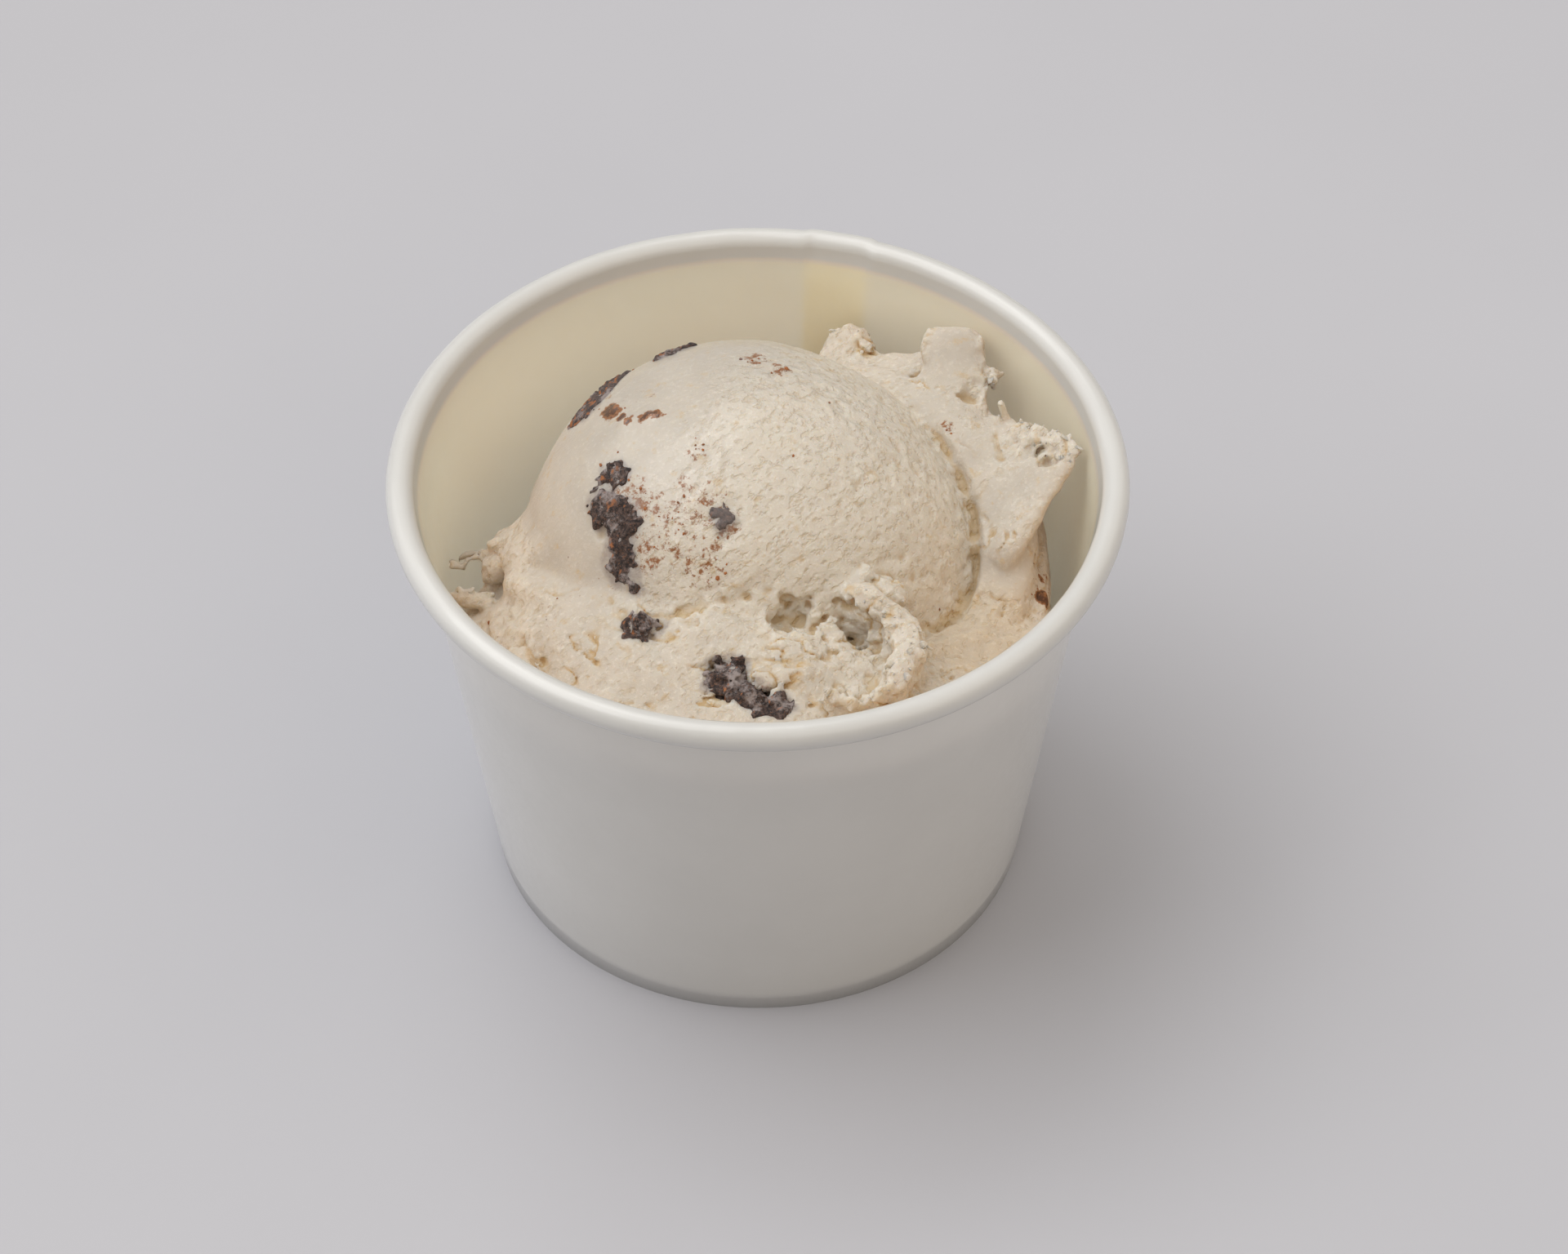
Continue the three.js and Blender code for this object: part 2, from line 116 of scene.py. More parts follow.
class Tree:
    """Short way to build a node tree."""

    def __init__(self, tree: bpy.types.NodeTree) -> None:
        """Wraps a tree."""
        self.tree = tree

    def add(self, kind: str, inputs: dict[Any, Any] | None = None, **settings: Any) -> bpy.types.Node:
        """Adds a node.

        Args:
            kind: Type name of the node.
            inputs: Values or sockets by input name or number.
            **settings: Properties of the node.

        Returns:
            The node.
        """
        node = self.tree.nodes.new(kind)
        for name, value in settings.items():
            setattr(node, name, value)
        self.fill(node, inputs or {})
        return node

    def fill(self, node: bpy.types.Node, inputs: dict[Any, Any]) -> None:
        """Links sockets to inputs of a node, and sets the other values on them.

        Args:
            node: The node.
            inputs: Values or sockets by input name or number.
        """
        for key, value in inputs.items():
            if isinstance(value, bpy.types.NodeSocket):
                self.tree.links.new(value, node.inputs[key])
            else:
                node.inputs[key].default_value = value

    def math(self, operation: str, *values: Any, clamp: bool = False) -> bpy.types.NodeSocket:
        """Result of a Math node, between 0 and 1 where it is clamped."""
        kind = "ShaderNodeMath"
        return self.add(kind, dict(enumerate(values)), operation=operation, use_clamp=clamp).outputs[0]

    def ramp(
        self, value: Any, low: float, high: float, to_low: float = 0.0, to_high: float = 1.0
    ) -> bpy.types.NodeSocket:
        """Eased ramp of a value, from to_low at low to to_high at high."""
        inputs = {"Value": value, "From Min": low, "From Max": high, "To Min": to_low, "To Max": to_high}
        return self.add("ShaderNodeMapRange", inputs, interpolation_type="SMOOTHSTEP").outputs["Result"]

    def mix(self, share: Any, first: Any, second: Any, blend: str = "MIX") -> bpy.types.NodeSocket:
        """Colour mixed from two, with the share of the second."""
        inputs = {0: share, 6: first, 7: second}
        return self.add("ShaderNodeMix", inputs, data_type="RGBA", blend_type=blend).outputs[2]

    def shaded(self, base: Any, shade: Any) -> bpy.types.NodeSocket:
        """Colour darkened by a value."""
        grey = self.add("ShaderNodeCombineColor", {0: shade, 1: shade, 2: shade}).outputs[0]
        return self.mix(1.0, base, grey, "MULTIPLY")

    def bump(self, height: Any, distance: float, strength: float) -> bpy.types.NodeSocket:
        """Normal of a surface with fine relief, as high as a distance in metres."""
        inputs = {"Height": height, "Distance": distance, "Strength": strength}
        return self.add("ShaderNodeBump", inputs).outputs[0]

    def mark(self, name: Mark) -> bpy.types.NodeSocket:
        """Value of a vertex attribute."""
        return self.add("ShaderNodeAttribute", attribute_name=name.value).outputs["Fac"]

    def noise(
        self, place: Any, scale: Any, detail: float = 3.0, rough: float = 0.55
    ) -> bpy.types.NodeSocket:
        """Noise value at a place in metres, with so many lumps per metre."""
        inputs = {"Vector": place, "Scale": scale, "Detail": detail, "Roughness": rough}
        return self.add("ShaderNodeTexNoise", inputs).outputs[0]


class GeometryTree(Tree):
    """Geometry tree with named inputs, whose result becomes a plain mesh."""

    def __init__(self, name: str, kinds: dict[str, str]) -> None:
        """Makes a tree with its inputs.

        Args:
            name: Name of the tree.
            kinds: Kind of socket by the name of the input.
        """
        super().__init__(bpy.data.node_groups.new(name, "GeometryNodeTree"))
        sockets = self.tree.interface
        self.identifiers = {
            key: sockets.new_socket(key, in_out="INPUT", socket_type="NodeSocket" + kind).identifier
            for key, kind in kinds.items()
        }
        sockets.new_socket("Geometry", in_out="OUTPUT", socket_type="NodeSocketGeometry")
        self.given = self.add("NodeGroupInput").outputs

    def vector(self, operation: str, first: Any, second: Any) -> bpy.types.NodeSocket:
        """Result of a Vector Math node; the second value is the factor of a scaling."""
        key = "Scale" if operation == "SCALE" else 1
        return self.add("ShaderNodeVectorMath", {0: first, key: second}, operation=operation).outputs[0]

    def join(self, x: Any, y: Any, z: Any) -> bpy.types.NodeSocket:
        """Vector made of three values."""
        return self.add("ShaderNodeCombineXYZ", {0: x, 1: y, 2: z}).outputs[0]

    def split(self, vector: bpy.types.NodeSocket) -> bpy.types.bpy_prop_collection:
        """X, Y and Z of a vector."""
        return self.add("ShaderNodeSeparateXYZ", {0: vector}).outputs

    def place(self) -> bpy.types.NodeSocket:
        """Place of each point."""
        return self.add("GeometryNodeInputPosition").outputs[0]

    def read(self, mark: Mark) -> bpy.types.NodeSocket:
        """Vertex attribute of the geometry."""
        inputs = {"Name": mark.value}
        return self.add("GeometryNodeInputNamedAttribute", inputs, data_type="FLOAT").outputs[0]

    def store(self, geometry: Any, mark: Mark, value: Any) -> bpy.types.NodeSocket:
        """Geometry with a vertex attribute added."""
        inputs = {"Geometry": geometry, "Name": mark.value, "Value": value}
        return self.add("GeometryNodeStoreNamedAttribute", inputs, data_type="FLOAT").outputs[0]

    def pick(self, geometry: Any, value: Any, number: Any, kind: str) -> bpy.types.NodeSocket:
        """Value at one numbered point of a geometry."""
        inputs = {"Geometry": geometry, "Value": value, "Index": number}
        return self.add("GeometryNodeSampleIndex", inputs, data_type=kind).outputs[0]

    def draw(self, low: float, high: float, seed: int) -> bpy.types.NodeSocket:
        """Random value for each point, between two limits."""
        inputs = {2: low, 3: high, "Seed": seed}
        return self.add("FunctionNodeRandomValue", inputs, data_type="FLOAT").outputs[1]

    def close(self, geometry: Any) -> None:
        """Ends the tree with a single mesh in its material."""
        single = self.add("GeometryNodeRealizeInstances", {"Geometry": geometry}).outputs[0]
        inputs = {"Geometry": single, "Material": self.given["Material"]}
        self.add("NodeGroupOutput", {0: self.add("GeometryNodeSetMaterial", inputs).outputs[0]})

    def bake(self, name: str, holder: bpy.types.Object, values: dict[str, Any]) -> bpy.types.Object:
        """Runs the tree on an object and keeps the result as a plain mesh.

        Args:
            name: Name of the result.
            holder: Object that carries the tree, which is removed.
            values: Inputs by name.

        Returns:
            New object with the made mesh.
        """
        modifier = holder.modifiers.new(self.tree.name, "NODES")
        modifier.node_group = self.tree
        for key, value in values.items():
            modifier[self.identifiers[key]] = value
        mesh = evaluated_mesh(holder)
        holder.modifiers.remove(modifier)
        bpy.data.objects.remove(holder)
        mesh.name = name
        return link_object(name, mesh)


def link_object(name: str, data: bpy.types.ID) -> bpy.types.Object:
    """New object in the scene.

    Args:
        name: Name of the object.
        data: Its mesh, camera or light.

    Returns:
        The object.
    """
    made = bpy.data.objects.new(name, data)
    bpy.context.scene.collection.objects.link(made)
    return made


def evaluated_mesh(piece: bpy.types.Object) -> bpy.types.Mesh:
    """Plain mesh of an object with its modifiers applied."""
    bpy.context.view_layer.update()
    return bpy.data.meshes.new_from_object(piece.evaluated_get(bpy.context.evaluated_depsgraph_get()))


def new_material(name: str) -> tuple[bpy.types.Material, Tree, bpy.types.Node, bpy.types.NodeSocket]:
    """Material with a shader and its object coordinates.

    Args:
        name: Name of the material.

    Returns:
        Material, its tree, its shader node and the coordinate socket.
    """
    material = bpy.data.materials.new(name)
    material.use_nodes = True
    tree = Tree(material.node_tree)
    shader = material.node_tree.nodes["Principled BSDF"]
    place = tree.add("ShaderNodeTexCoord").outputs["Object"]
    return material, tree, shader, place


@dataclass(frozen=True)
class PaperFinish:
    """White coated paper, more translucent inside the cup and warmer there: partly the paper's own tint,
    partly painted warm light bounced from the ice cream.
    """

    outside: tuple = colour(215, 214, 211)
    # Inside colour: partly the paper's own warmer tint, partly painted warm bounce light from the ice
    # cream.
    inside: tuple = colour(255, 226, 192)
    mottle: float = 0.05
    roughness: float = 0.36
    roughness_change: float = 0.06
    fibre_scale: float = 900.0
    cloud_scale: float = 45.0
    fibre_height: float = 0.00003
    fibre_strength: float = 0.35
    translucence: tuple[float, float] = (0.2, 1.0)
    scatter: tuple[float, float, float] = (0.003, 0.003, 0.003)
    coat: float = 0.8
    coat_roughness: float = 0.12

    def material(self) -> bpy.types.Material:
        """Builds the material.

        Returns:
            The material.
        """
        material, tree, shader, place = new_material("paper")
        inner = tree.ramp(tree.mark(Mark.INNER), 0.3, 0.7)
        cloud = tree.noise(place, self.cloud_scale, 4.0)
        fibre = tree.noise(place, self.fibre_scale, 5.0, 0.7)
        # The inner face takes the warmer colour, which is partly painted bounce light.
        base = tree.mix(inner, self.outside, self.inside)
        shade = tree.ramp(cloud, 0.3, 0.7, 1.0 - self.mottle, 1.0)
        least = self.roughness - self.roughness_change
        most = self.roughness + self.roughness_change
        tree.fill(shader, {
            "Base Color": tree.shaded(base, shade),
            "Roughness": tree.ramp(fibre, 0.3, 0.7, least, most),
            "Normal": tree.bump(fibre, self.fibre_height, self.fibre_strength),
            "Subsurface Weight": tree.ramp(inner, 0.0, 1.0, *self.translucence),
            "Subsurface Radius": self.scatter,
            "Subsurface Scale": 1.0,
            "Coat Weight": self.coat,
            "Coat Roughness": self.coat_roughness,
        })
        return material


@dataclass(frozen=True)
class CreamFinish:
    """Ice cream: pale and milky, with painted shade as a golden tint in its hollows, lighter frost where
    rough that is partly painted light, dragged dimples and a fine grain.
    """

    cream: tuple = colour(190, 181, 169)
    # Frost: partly the ice cream's own whiteness, partly painted light that lifts rough places over the
    # shade of their bumps.
    frosty_and_fill_light: tuple = colour(215, 206, 192)
    crystal: tuple = colour(235, 229, 219)
    # Golden flecks, and painted shade in the hollows.
    gold_fleck_and_shade: tuple = colour(198, 167, 114)
    # Painted shade in the deepest hollows.
    deep_hollow_shade: tuple = colour(170, 132, 84)
    stain: tuple = colour(142, 84, 26)
    burnt: tuple = colour(66, 42, 30)
    haze: tuple = colour(150, 137, 132)
    drag_stretch: float = 1.6
    patch_scale: float = 160.0
    blotch_scale: float = 900.0
    fleck_scale: float = 520.0
    dimple_scale: float = 1150.0
    grain_scale: float = 1700.0
    pore_scale: float = 1100.0
    relief: float = 0.0003
    relief_strength: float = 0.7
    pore_depth: float = 0.7
    # Share of painted golden shade in the pits.
    pit_shade_gold: float = 0.16
    stain_share: float = 0.4
    stain_range: tuple[float, float] = (0.79, 0.92)
    burnt_range: tuple[float, float] = (0.97, 1.08)
    fleck_range: tuple[float, float] = (0.58, 0.72)
    dry_roughness: tuple[float, float] = (0.5, 0.66)
    wet_roughness: float = 0.28
    coat: float = 0.8
    coat_roughness: float = 0.2
    translucence: float = 0.55
    scatter: tuple[float, float, float] = (0.003, 0.0023, 0.0016)
    specular: float = 0.3

    def material(self) -> bpy.types.Material:
        """Builds the material.

        Returns:
            The material.
        """
        material, tree, shader, place = new_material("ice_cream")
        turn = Vector(DRAG).to_track_quat("X", "Z").to_euler()
        frame_of_drag = {"Vector": place, "Rotation": turn, "Scale": (self.drag_stretch, 1.0, 1.0)}
        dragged = tree.add("ShaderNodeMapping", frame_of_drag, vector_type="TEXTURE").outputs[0]
        rough = tree.mark(Mark.ROUGH)
        wet = tree.mark(Mark.WET)
        patch = tree.noise(place, self.patch_scale, 4.0)
        grain = tree.noise(place, self.grain_scale, 4.0, 0.68)
        pitted = self._pitted(tree, dragged, patch, rough)
        values = {"rough": rough, "patch": patch, "grain": grain, "pitted": pitted}
        base = self._colours(tree, place, values)
        dry = tree.ramp(grain, 0.3, 0.7, *self.dry_roughness)
        shine = tree.add("ShaderNodeMix", {0: wet, 2: dry, 3: self.wet_roughness}, data_type="FLOAT")
        height = tree.math("MULTIPLY", grain, tree.ramp(rough, 0.0, 0.6, 0.3, 0.9))
        height = tree.math("SUBTRACT", height, pitted)
        tree.fill(shader, {
            "Base Color": base,
            "Roughness": shine.outputs[0],
            "Normal": tree.bump(height, self.relief, self.relief_strength),
            "Coat Weight": tree.math("MULTIPLY", wet, self.coat),
            "Coat Roughness": self.coat_roughness,
            "Subsurface Weight": self.translucence,
            "Subsurface Radius": self.scatter,
            "Subsurface Scale": 1.0,
            "Specular IOR Level": self.specular,
        })
        return material

    def _pitted(self, tree: Tree, dragged: Any, patch: Any, rough: Any) -> bpy.types.NodeSocket:
        """Depth of the dimples and pores, where the surface is rough.

        Args:
            tree: Tree of the material.
            dragged: Coordinates stretched along the drag.
            patch: Value that thins the pores out in patches.
            rough: How rough the surface is.

        Returns:
            The output socket.
        """
        dimple = tree.ramp(tree.noise(dragged, self.dimple_scale, 2.5, 0.55), 0.52, 0.68)
        spots = tree.add("ShaderNodeTexVoronoi", {"Vector": dragged, "Scale": self.pore_scale})
        pore = tree.ramp(spots.outputs["Distance"], 0.4, 0.08)
        pore = tree.math("MULTIPLY", pore, tree.ramp(patch, 0.35, 0.6))
        pitted = tree.math("MULTIPLY_ADD", pore, self.pore_depth, dimple)
        return tree.math("MULTIPLY", pitted, tree.ramp(rough, 0.05, 0.7))

    def _colours(self, tree: Tree, place: Any, values: dict[str, Any]) -> bpy.types.NodeSocket:
        """Colour of the ice cream with its frost, flecks and stains, painted shade in its hollows, and
        painted light in the frost where rough.

        Args:
            tree: Tree of the material.
            place: Object coordinates.
            values: Sockets of the values rough, patch, grain and pitted.

        Returns:
            The output socket.
        """
        rough, patch, grain, pitted = (values[key] for key in ("rough", "patch", "grain", "pitted"))
        # Painted shade: golden in the pits and in the creases, hollows and cracks that the hollow attribute
        # marks, browner where deepest.
        hollow = tree.math("MULTIPLY_ADD", pitted, self.pit_shade_gold, tree.mark(Mark.HOLLOW_SHADE), clamp=True)
        # Lighter frost where rough: partly real frost, partly painted light over the shade of the bumps.
        frost_and_fill_light = tree.math("ADD", tree.ramp(patch, 0.3, 0.7, -0.15, 0.15), rough, clamp=True)
        speck = tree.ramp(grain, 0.5, 0.7, 0.0, 0.45)
        speck = tree.math("MULTIPLY", speck, tree.ramp(rough, 0.0, 0.6, 0.3, 1.0))
        fleck = tree.ramp(tree.noise(place, self.fleck_scale, 4.0, 0.65), *self.fleck_range, 0.0, 0.45)
        blotch = tree.noise(place, self.blotch_scale, 4.0, 0.7)
        soiled = tree.math("MULTIPLY_ADD", tree.mark(Mark.STAIN), self.stain_share, blotch)
        hazy = tree.math("MULTIPLY", tree.mark(Mark.HAZE), tree.ramp(grain, 0.3, 0.6, 0.4, 1.0))
        layers = (
            (frost_and_fill_light, self.frosty_and_fill_light),
            (speck, self.crystal),
            (hollow, self.gold_fleck_and_shade),
            (tree.ramp(hollow, 0.6, 1.0, 0.0, 0.6), self.deep_hollow_shade),
            (fleck, self.gold_fleck_and_shade),
            (tree.ramp(soiled, *self.stain_range, 0.0, 0.9), self.stain),
            (tree.ramp(soiled, *self.burnt_range, 0.0, 0.8), self.burnt),
            (hazy, self.haze),
        )
        base = self.cream
        for share, tint in layers:
            base = tree.mix(share, base, tint)
        return base


@dataclass(frozen=True)
class CookieFinish:
    """Dark cookie: porous crumb, rusty at its edges, with cream rubbed into it."""

    dark: tuple = colour(40, 33, 33)
    brown: tuple = colour(96, 77, 70)
    rust: tuple = colour(178, 112, 66)
    haze: tuple = colour(174, 163, 161)
    lump_scale: float = 2300.0
    crumb_scale: float = 2800.0
    speck_scale: float = 3600.0
    smear_scale: float = 400.0
    relief: float = 0.0004
    relief_strength: float = 0.9
    roughness: float = 0.8

    def material(self) -> bpy.types.Material:
        """Builds the material.

        Returns:
            The material.
        """
        material, tree, shader, place = new_material("cookie")
        lumps = tree.noise(place, self.lump_scale, 4.0, 0.7)
        crumbs = tree.noise(place, self.crumb_scale, 4.0, 0.7)
        specks = tree.noise(place, self.speck_scale, 2.0, 0.6)
        smear = tree.noise(place, self.smear_scale, 6.0, 0.7)
        rusty = tree.ramp(tree.mark(Mark.TONE), 0.2, 0.9)
        base = tree.mix(tree.ramp(lumps, 0.4, 0.62), self.dark, self.brown)
        base = tree.mix(tree.ramp(specks, 0.6, 0.7, 0.0, 0.35), base, self.rust)
        base = tree.mix(rusty, base, self.rust)
        rubbed = tree.math("MAXIMUM", tree.ramp(smear, 0.48, 0.62, 0.0, 0.8), tree.mark(Mark.HAZE))
        hazy = tree.math("MULTIPLY", rubbed, tree.math("SUBTRACT", 1.0, rusty))
        tree.fill(shader, {
            "Base Color": tree.mix(hazy, base, self.haze),
            "Roughness": self.roughness,
            "Normal": tree.bump(crumbs, self.relief, self.relief_strength),
        })
        return material


@dataclass(frozen=True)
class FloorFinish:
    """Plain pale table top."""

    pale: tuple = colour(186, 186, 192)
    roughness: float = 0.5
    cloud_scale: float = 9.0
    mottle: float = 0.03

    def material(self) -> bpy.types.Material:
        """Builds the material.

        Returns:
            The material.
        """
        material, tree, shader, place = new_material("floor")
        shade = tree.ramp(tree.noise(place, self.cloud_scale), 0.3, 0.7, 1.0 - self.mottle, 1.0)
        tree.fill(shader, {"Base Color": tree.shaded(self.pale, shade), "Roughness": self.roughness})
        return material


def between(grid: np.ndarray, cells: np.ndarray, share: np.ndarray) -> np.ndarray:
    """Values of a grid mixed from the eight corners of each cell.

    Args:
        grid: The grid, which wraps round at its ends.
        cells: Lowest corner of each cell, one row each.
        share: How far along the cell each place lies, one row each.

    Returns:
        One value for each row.
    """
    total = np.zeros(len(cells), np.float32)
    for corner in range(8):
        step = np.array([corner & 1, corner >> 1 & 1, corner >> 2 & 1], np.int32)
        weight = np.prod(np.where(step, share, 1.0 - share), axis=1)
        i, j, k = ((cells + step) % grid.shape).T
        total += weight * grid[i, j, k]
    return total


class Noise:
    """Repeatable noise on a wrapped lattice of random values."""

    CELLS = 64
    START = np.float32(1000.0)
    LAYER_SHIFT = 17.3

    def __init__(self, seed: int) -> None:
        """Draws the lattice."""
        draw = np.random.default_rng(seed)
        self.values = draw.random((self.CELLS,) * 3, dtype=np.float32) * 2.0 - 1.0

    def value(self, points: np.ndarray, size: float) -> np.ndarray:
        """Smooth noise.

        Args:
            points: Places, one row each.
            size: Size of the lumps.

        Returns:
            Values from -1 to 1.
        """
        scaled = points / np.float32(size) + self.START
        cell = np.floor(scaled).astype(np.int32)
        inside = scaled - cell
        return between(self.values, cell, inside * inside * (3.0 - 2.0 * inside))

    def layers(self, points: np.ndarray, size: float, count: int = 3, gain: float = 0.5) -> np.ndarray:
        """Noise summed over finer and finer lumps.

        Args:
            points: Places, one row each.
            size: Size of the largest lumps.
            count: Number of layers.
            gain: Strength of each layer against the one before.

        Returns:
            Values of about -1 to 1.
        """
        total = np.zeros(len(points), np.float32)
        for layer in range(count):
            offset = np.float32(self.LAYER_SHIFT * layer)
            total += gain**layer * self.value(points + offset, size / 2.0**layer)
        return total


class VoxelForm:
    """A solid held as distances in millimetres on a grid, negative inside."""

    def __init__(self, node: str, voxel: float, margin: float, band: float) -> None:
        """Reads a CAD node.

        Args:
            node: Name of the node.
            voxel: Grid step in millimetres.
            margin: Room round the node in millimetres.
            band: Distance from the surface that is measured, in millimetres.
        """
        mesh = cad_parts[node].data
        mesh.calc_loop_triangles()
        corners = np.empty(len(mesh.vertices) * 3, np.float32)
        mesh.vertices.foreach_get("co", corners)
        corners = corners.reshape(-1, 3) / np.float32(MM)
        triangles = np.empty(len(mesh.loop_triangles) * 3, np.int32)
        mesh.loop_triangles.foreach_get("vertices", triangles)
        self.voxel = voxel
        self.low = corners.min(0) - np.float32(margin)
        shape = np.ceil((corners.max(0) + margin - self.low) / voxel).astype(int)
        grid = openvdb.FloatGrid.createLevelSetFromPolygons(
            corners - self.low,
            triangles=triangles.reshape(-1, 3).astype(np.uint32),
            transform=openvdb.createLinearTransform(voxel),
            halfWidth=band / voxel,
        )
        self.field = np.empty(tuple(shape), np.float32)
        grid.copyToArray(self.field, ijk=(0, 0, 0))

    def points(self, cells: np.ndarray) -> np.ndarray:
        """Places of the chosen cells in millimetres, one row each."""
        return np.argwhere(cells).astype(np.float32) * np.float32(self.voxel) + self.low

    def block(self, centre: Sequence[float], reach: float) -> tuple[tuple[slice, ...], np.ndarray]:
        """Part of the grid round a place.

        Args:
            centre: The place in millimetres.
            reach: Half width of the part in millimetres.

        Returns:
            Slices of the grid and the places of their cells, one row each.
        """
        middle = (np.array(centre, np.float32) - self.low) / self.voxel
        first = np.maximum(np.floor(middle - reach / self.voxel).astype(int), 0)
        last = np.minimum(np.ceil(middle + reach / self.voxel).astype(int), self.field.shape)
        cells = np.indices(last - first, np.float32).reshape(3, -1).T + first
        return tuple(map(slice, first, last)), (cells * self.voxel + self.low).astype(np.float32)

    def blurred(self, radius: float) -> np.ndarray:
        """Distances averaged over a soft neighbourhood.

        Args:
            radius: Half width of the neighbourhood in millimetres.

        Returns:
            A grid like the field.
        """
        half = max(1, round(radius / self.voxel / 2.0))
        soft = self.field
        for axis in range(3):
            for _ in range(2):
                soft = self._box(soft, half, axis)
        return soft

    @staticmethod
    def _box(values: np.ndarray, half: int, axis: int) -> np.ndarray:
        """Running mean along one axis.

        Args:
            values: Grid.
            half: Cells on either side.
            axis: Axis to run along.

        Returns:
            A grid of the same shape.
        """
        pad = [(0, 0)] * 3
        pad[axis] = (half + 1, half)
        total = np.cumsum(np.pad(values, pad, mode="edge"), axis=axis, dtype=np.float32)
        width = 2 * half + 1
        upper = np.take(total, np.arange(width, total.shape[axis]), axis=axis)
        lower = np.take(total, np.arange(0, total.shape[axis] - width), axis=axis)
        return (upper - lower) / np.float32(width)

    def sample(self, grid: np.ndarray, places: np.ndarray) -> np.ndarray:
        """Values of a grid between its cells.

        Args:
            grid: Grid like the field.
            places: Places in millimetres, one row each.

        Returns:
            One value for each place.
        """
        scaled = (places - self.low) / np.float32(self.voxel)
        cell = np.clip(np.floor(scaled).astype(int), 0, np.array(grid.shape) - 2)
        return between(grid, cell, (scaled - cell).astype(np.float32))

    def skin(self) -> tuple[np.ndarray, list[Sequence[int]]]:
        """Surface of the solid, without loose bits.

        Returns:
            Places in millimetres and the corners of each face.
        """
        grid = openvdb.FloatGrid(float(self.field.max()))
        grid.copyFromArray(self.field)
        grid.transform = openvdb.createLinearTransform(self.voxel)
        places, triangles, quads = grid.convertToPolygons(0.0, 0.0)
        places = places + self.low
        label = self._largest(len(places), triangles, quads)
        number = np.cumsum(label) - 1
        kept = [corners[label[corners[:, 0]]] for corners in (triangles, quads)]
        faces = [tuple(face) for corners in kept for face in number[corners[:, ::-1]].tolist()]
        return places[label], faces

    @staticmethod
    def _largest(count: int, triangles: np.ndarray, quads: np.ndarray) -> np.ndarray:
        """Which vertices belong to the largest connected surface.

        Args:
            count: Number of vertices.
            triangles: Corners of the triangles.
            quads: Corners of the quads.

        Returns:
            One boolean for each vertex.
        """
        pairs = [quads[:, [n, (n + 1) % 4]] for n in range(4)]
        pairs += [triangles[:, [n, (n + 1) % 3]] for n in range(3)]
        edges = np.concatenate(pairs).astype(np.int64)
        label = np.arange(count)
        while True:
            lowest = label.copy()
            np.minimum.at(lowest, edges[:, 0], label[edges[:, 1]])
            np.minimum.at(lowest, edges[:, 1], label[edges[:, 0]])
            lowest = lowest[lowest]
            if np.array_equal(lowest, label):
                break
            label = lowest
        names, sizes = np.unique(label, return_counts=True)
        return label == names[np.argmax(sizes)]


def new_piece(
    name: str, places: np.ndarray, faces: list[Sequence[int]], material: bpy.types.Material
) -> bpy.types.Object:
    """Smooth object from places in millimetres.

    Args:
        name: Name of the piece.
        places: Vertices in millimetres.
        faces: Corners of each face.
        material: Its material.

    Returns:
        The object, linked to the scene.
    """
    mesh = bpy.data.meshes.new(name)
    mesh.from_pydata((places * MM).tolist(), [], faces)
    mesh.polygons.foreach_set("use_smooth", np.ones(len(mesh.polygons), bool))
    mesh.materials.append(material)
    mesh.update()
    return link_object(name, mesh)


def vertex_places(piece: bpy.types.Object) -> np.ndarray:
    """Vertices of a piece in millimetres, one row each."""
    places = np.empty(len(piece.data.vertices) * 3, np.float32)
    piece.data.vertices.foreach_get("co", places)
    return places.reshape(-1, 3) / np.float32(MM)


def set_marks(piece: bpy.types.Object, marks: dict[Mark, np.ndarray]) -> None:
    """Stores vertex attributes on a piece.

    Args:
        piece: The piece.
        marks: Values by attribute.
    """
    for mark, values in marks.items():
        layer = piece.data.attributes.new(mark.value, "FLOAT", "POINT")
        layer.data.foreach_set("value", np.asarray(values, np.float32))


def thin_out(piece: bpy.types.Object, triangles: int, group: str = "") -> None:
    """Thins the mesh of a piece.

    Args:
        piece: The piece.
        triangles: Number of triangles to keep.
        group: Vertex group that alone is thinned, if any.
    """
    piece.data.calc_loop_triangles()
    thinner = piece.modifiers.new("thin_out", "DECIMATE")
    thinner.ratio = min(1.0, triangles / len(piece.data.loop_triangles))
    thinner.vertex_group = group
    thinner.vertex_group_factor = GROUP_WEIGHT
    thinned = evaluated_mesh(piece)
    piece.modifiers.clear()
    piece.vertex_groups.clear()
    spare = piece.data
    piece.data = thinned
    bpy.data.meshes.remove(spare)


def finish_piece(piece: bpy.types.Object, slot: Slot, *nodes: str) -> None:
    """Binds a piece to the body and hides the CAD nodes that it stands for.

    Args:
        piece: The piece.
        slot: Not used.
        *nodes: CAD nodes that it replaces.
    """
    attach(piece, ROOT)
    if nodes:
        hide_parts(*nodes)
    LOG.info("%s: %d faces", piece.name, len(piece.data.polygons))


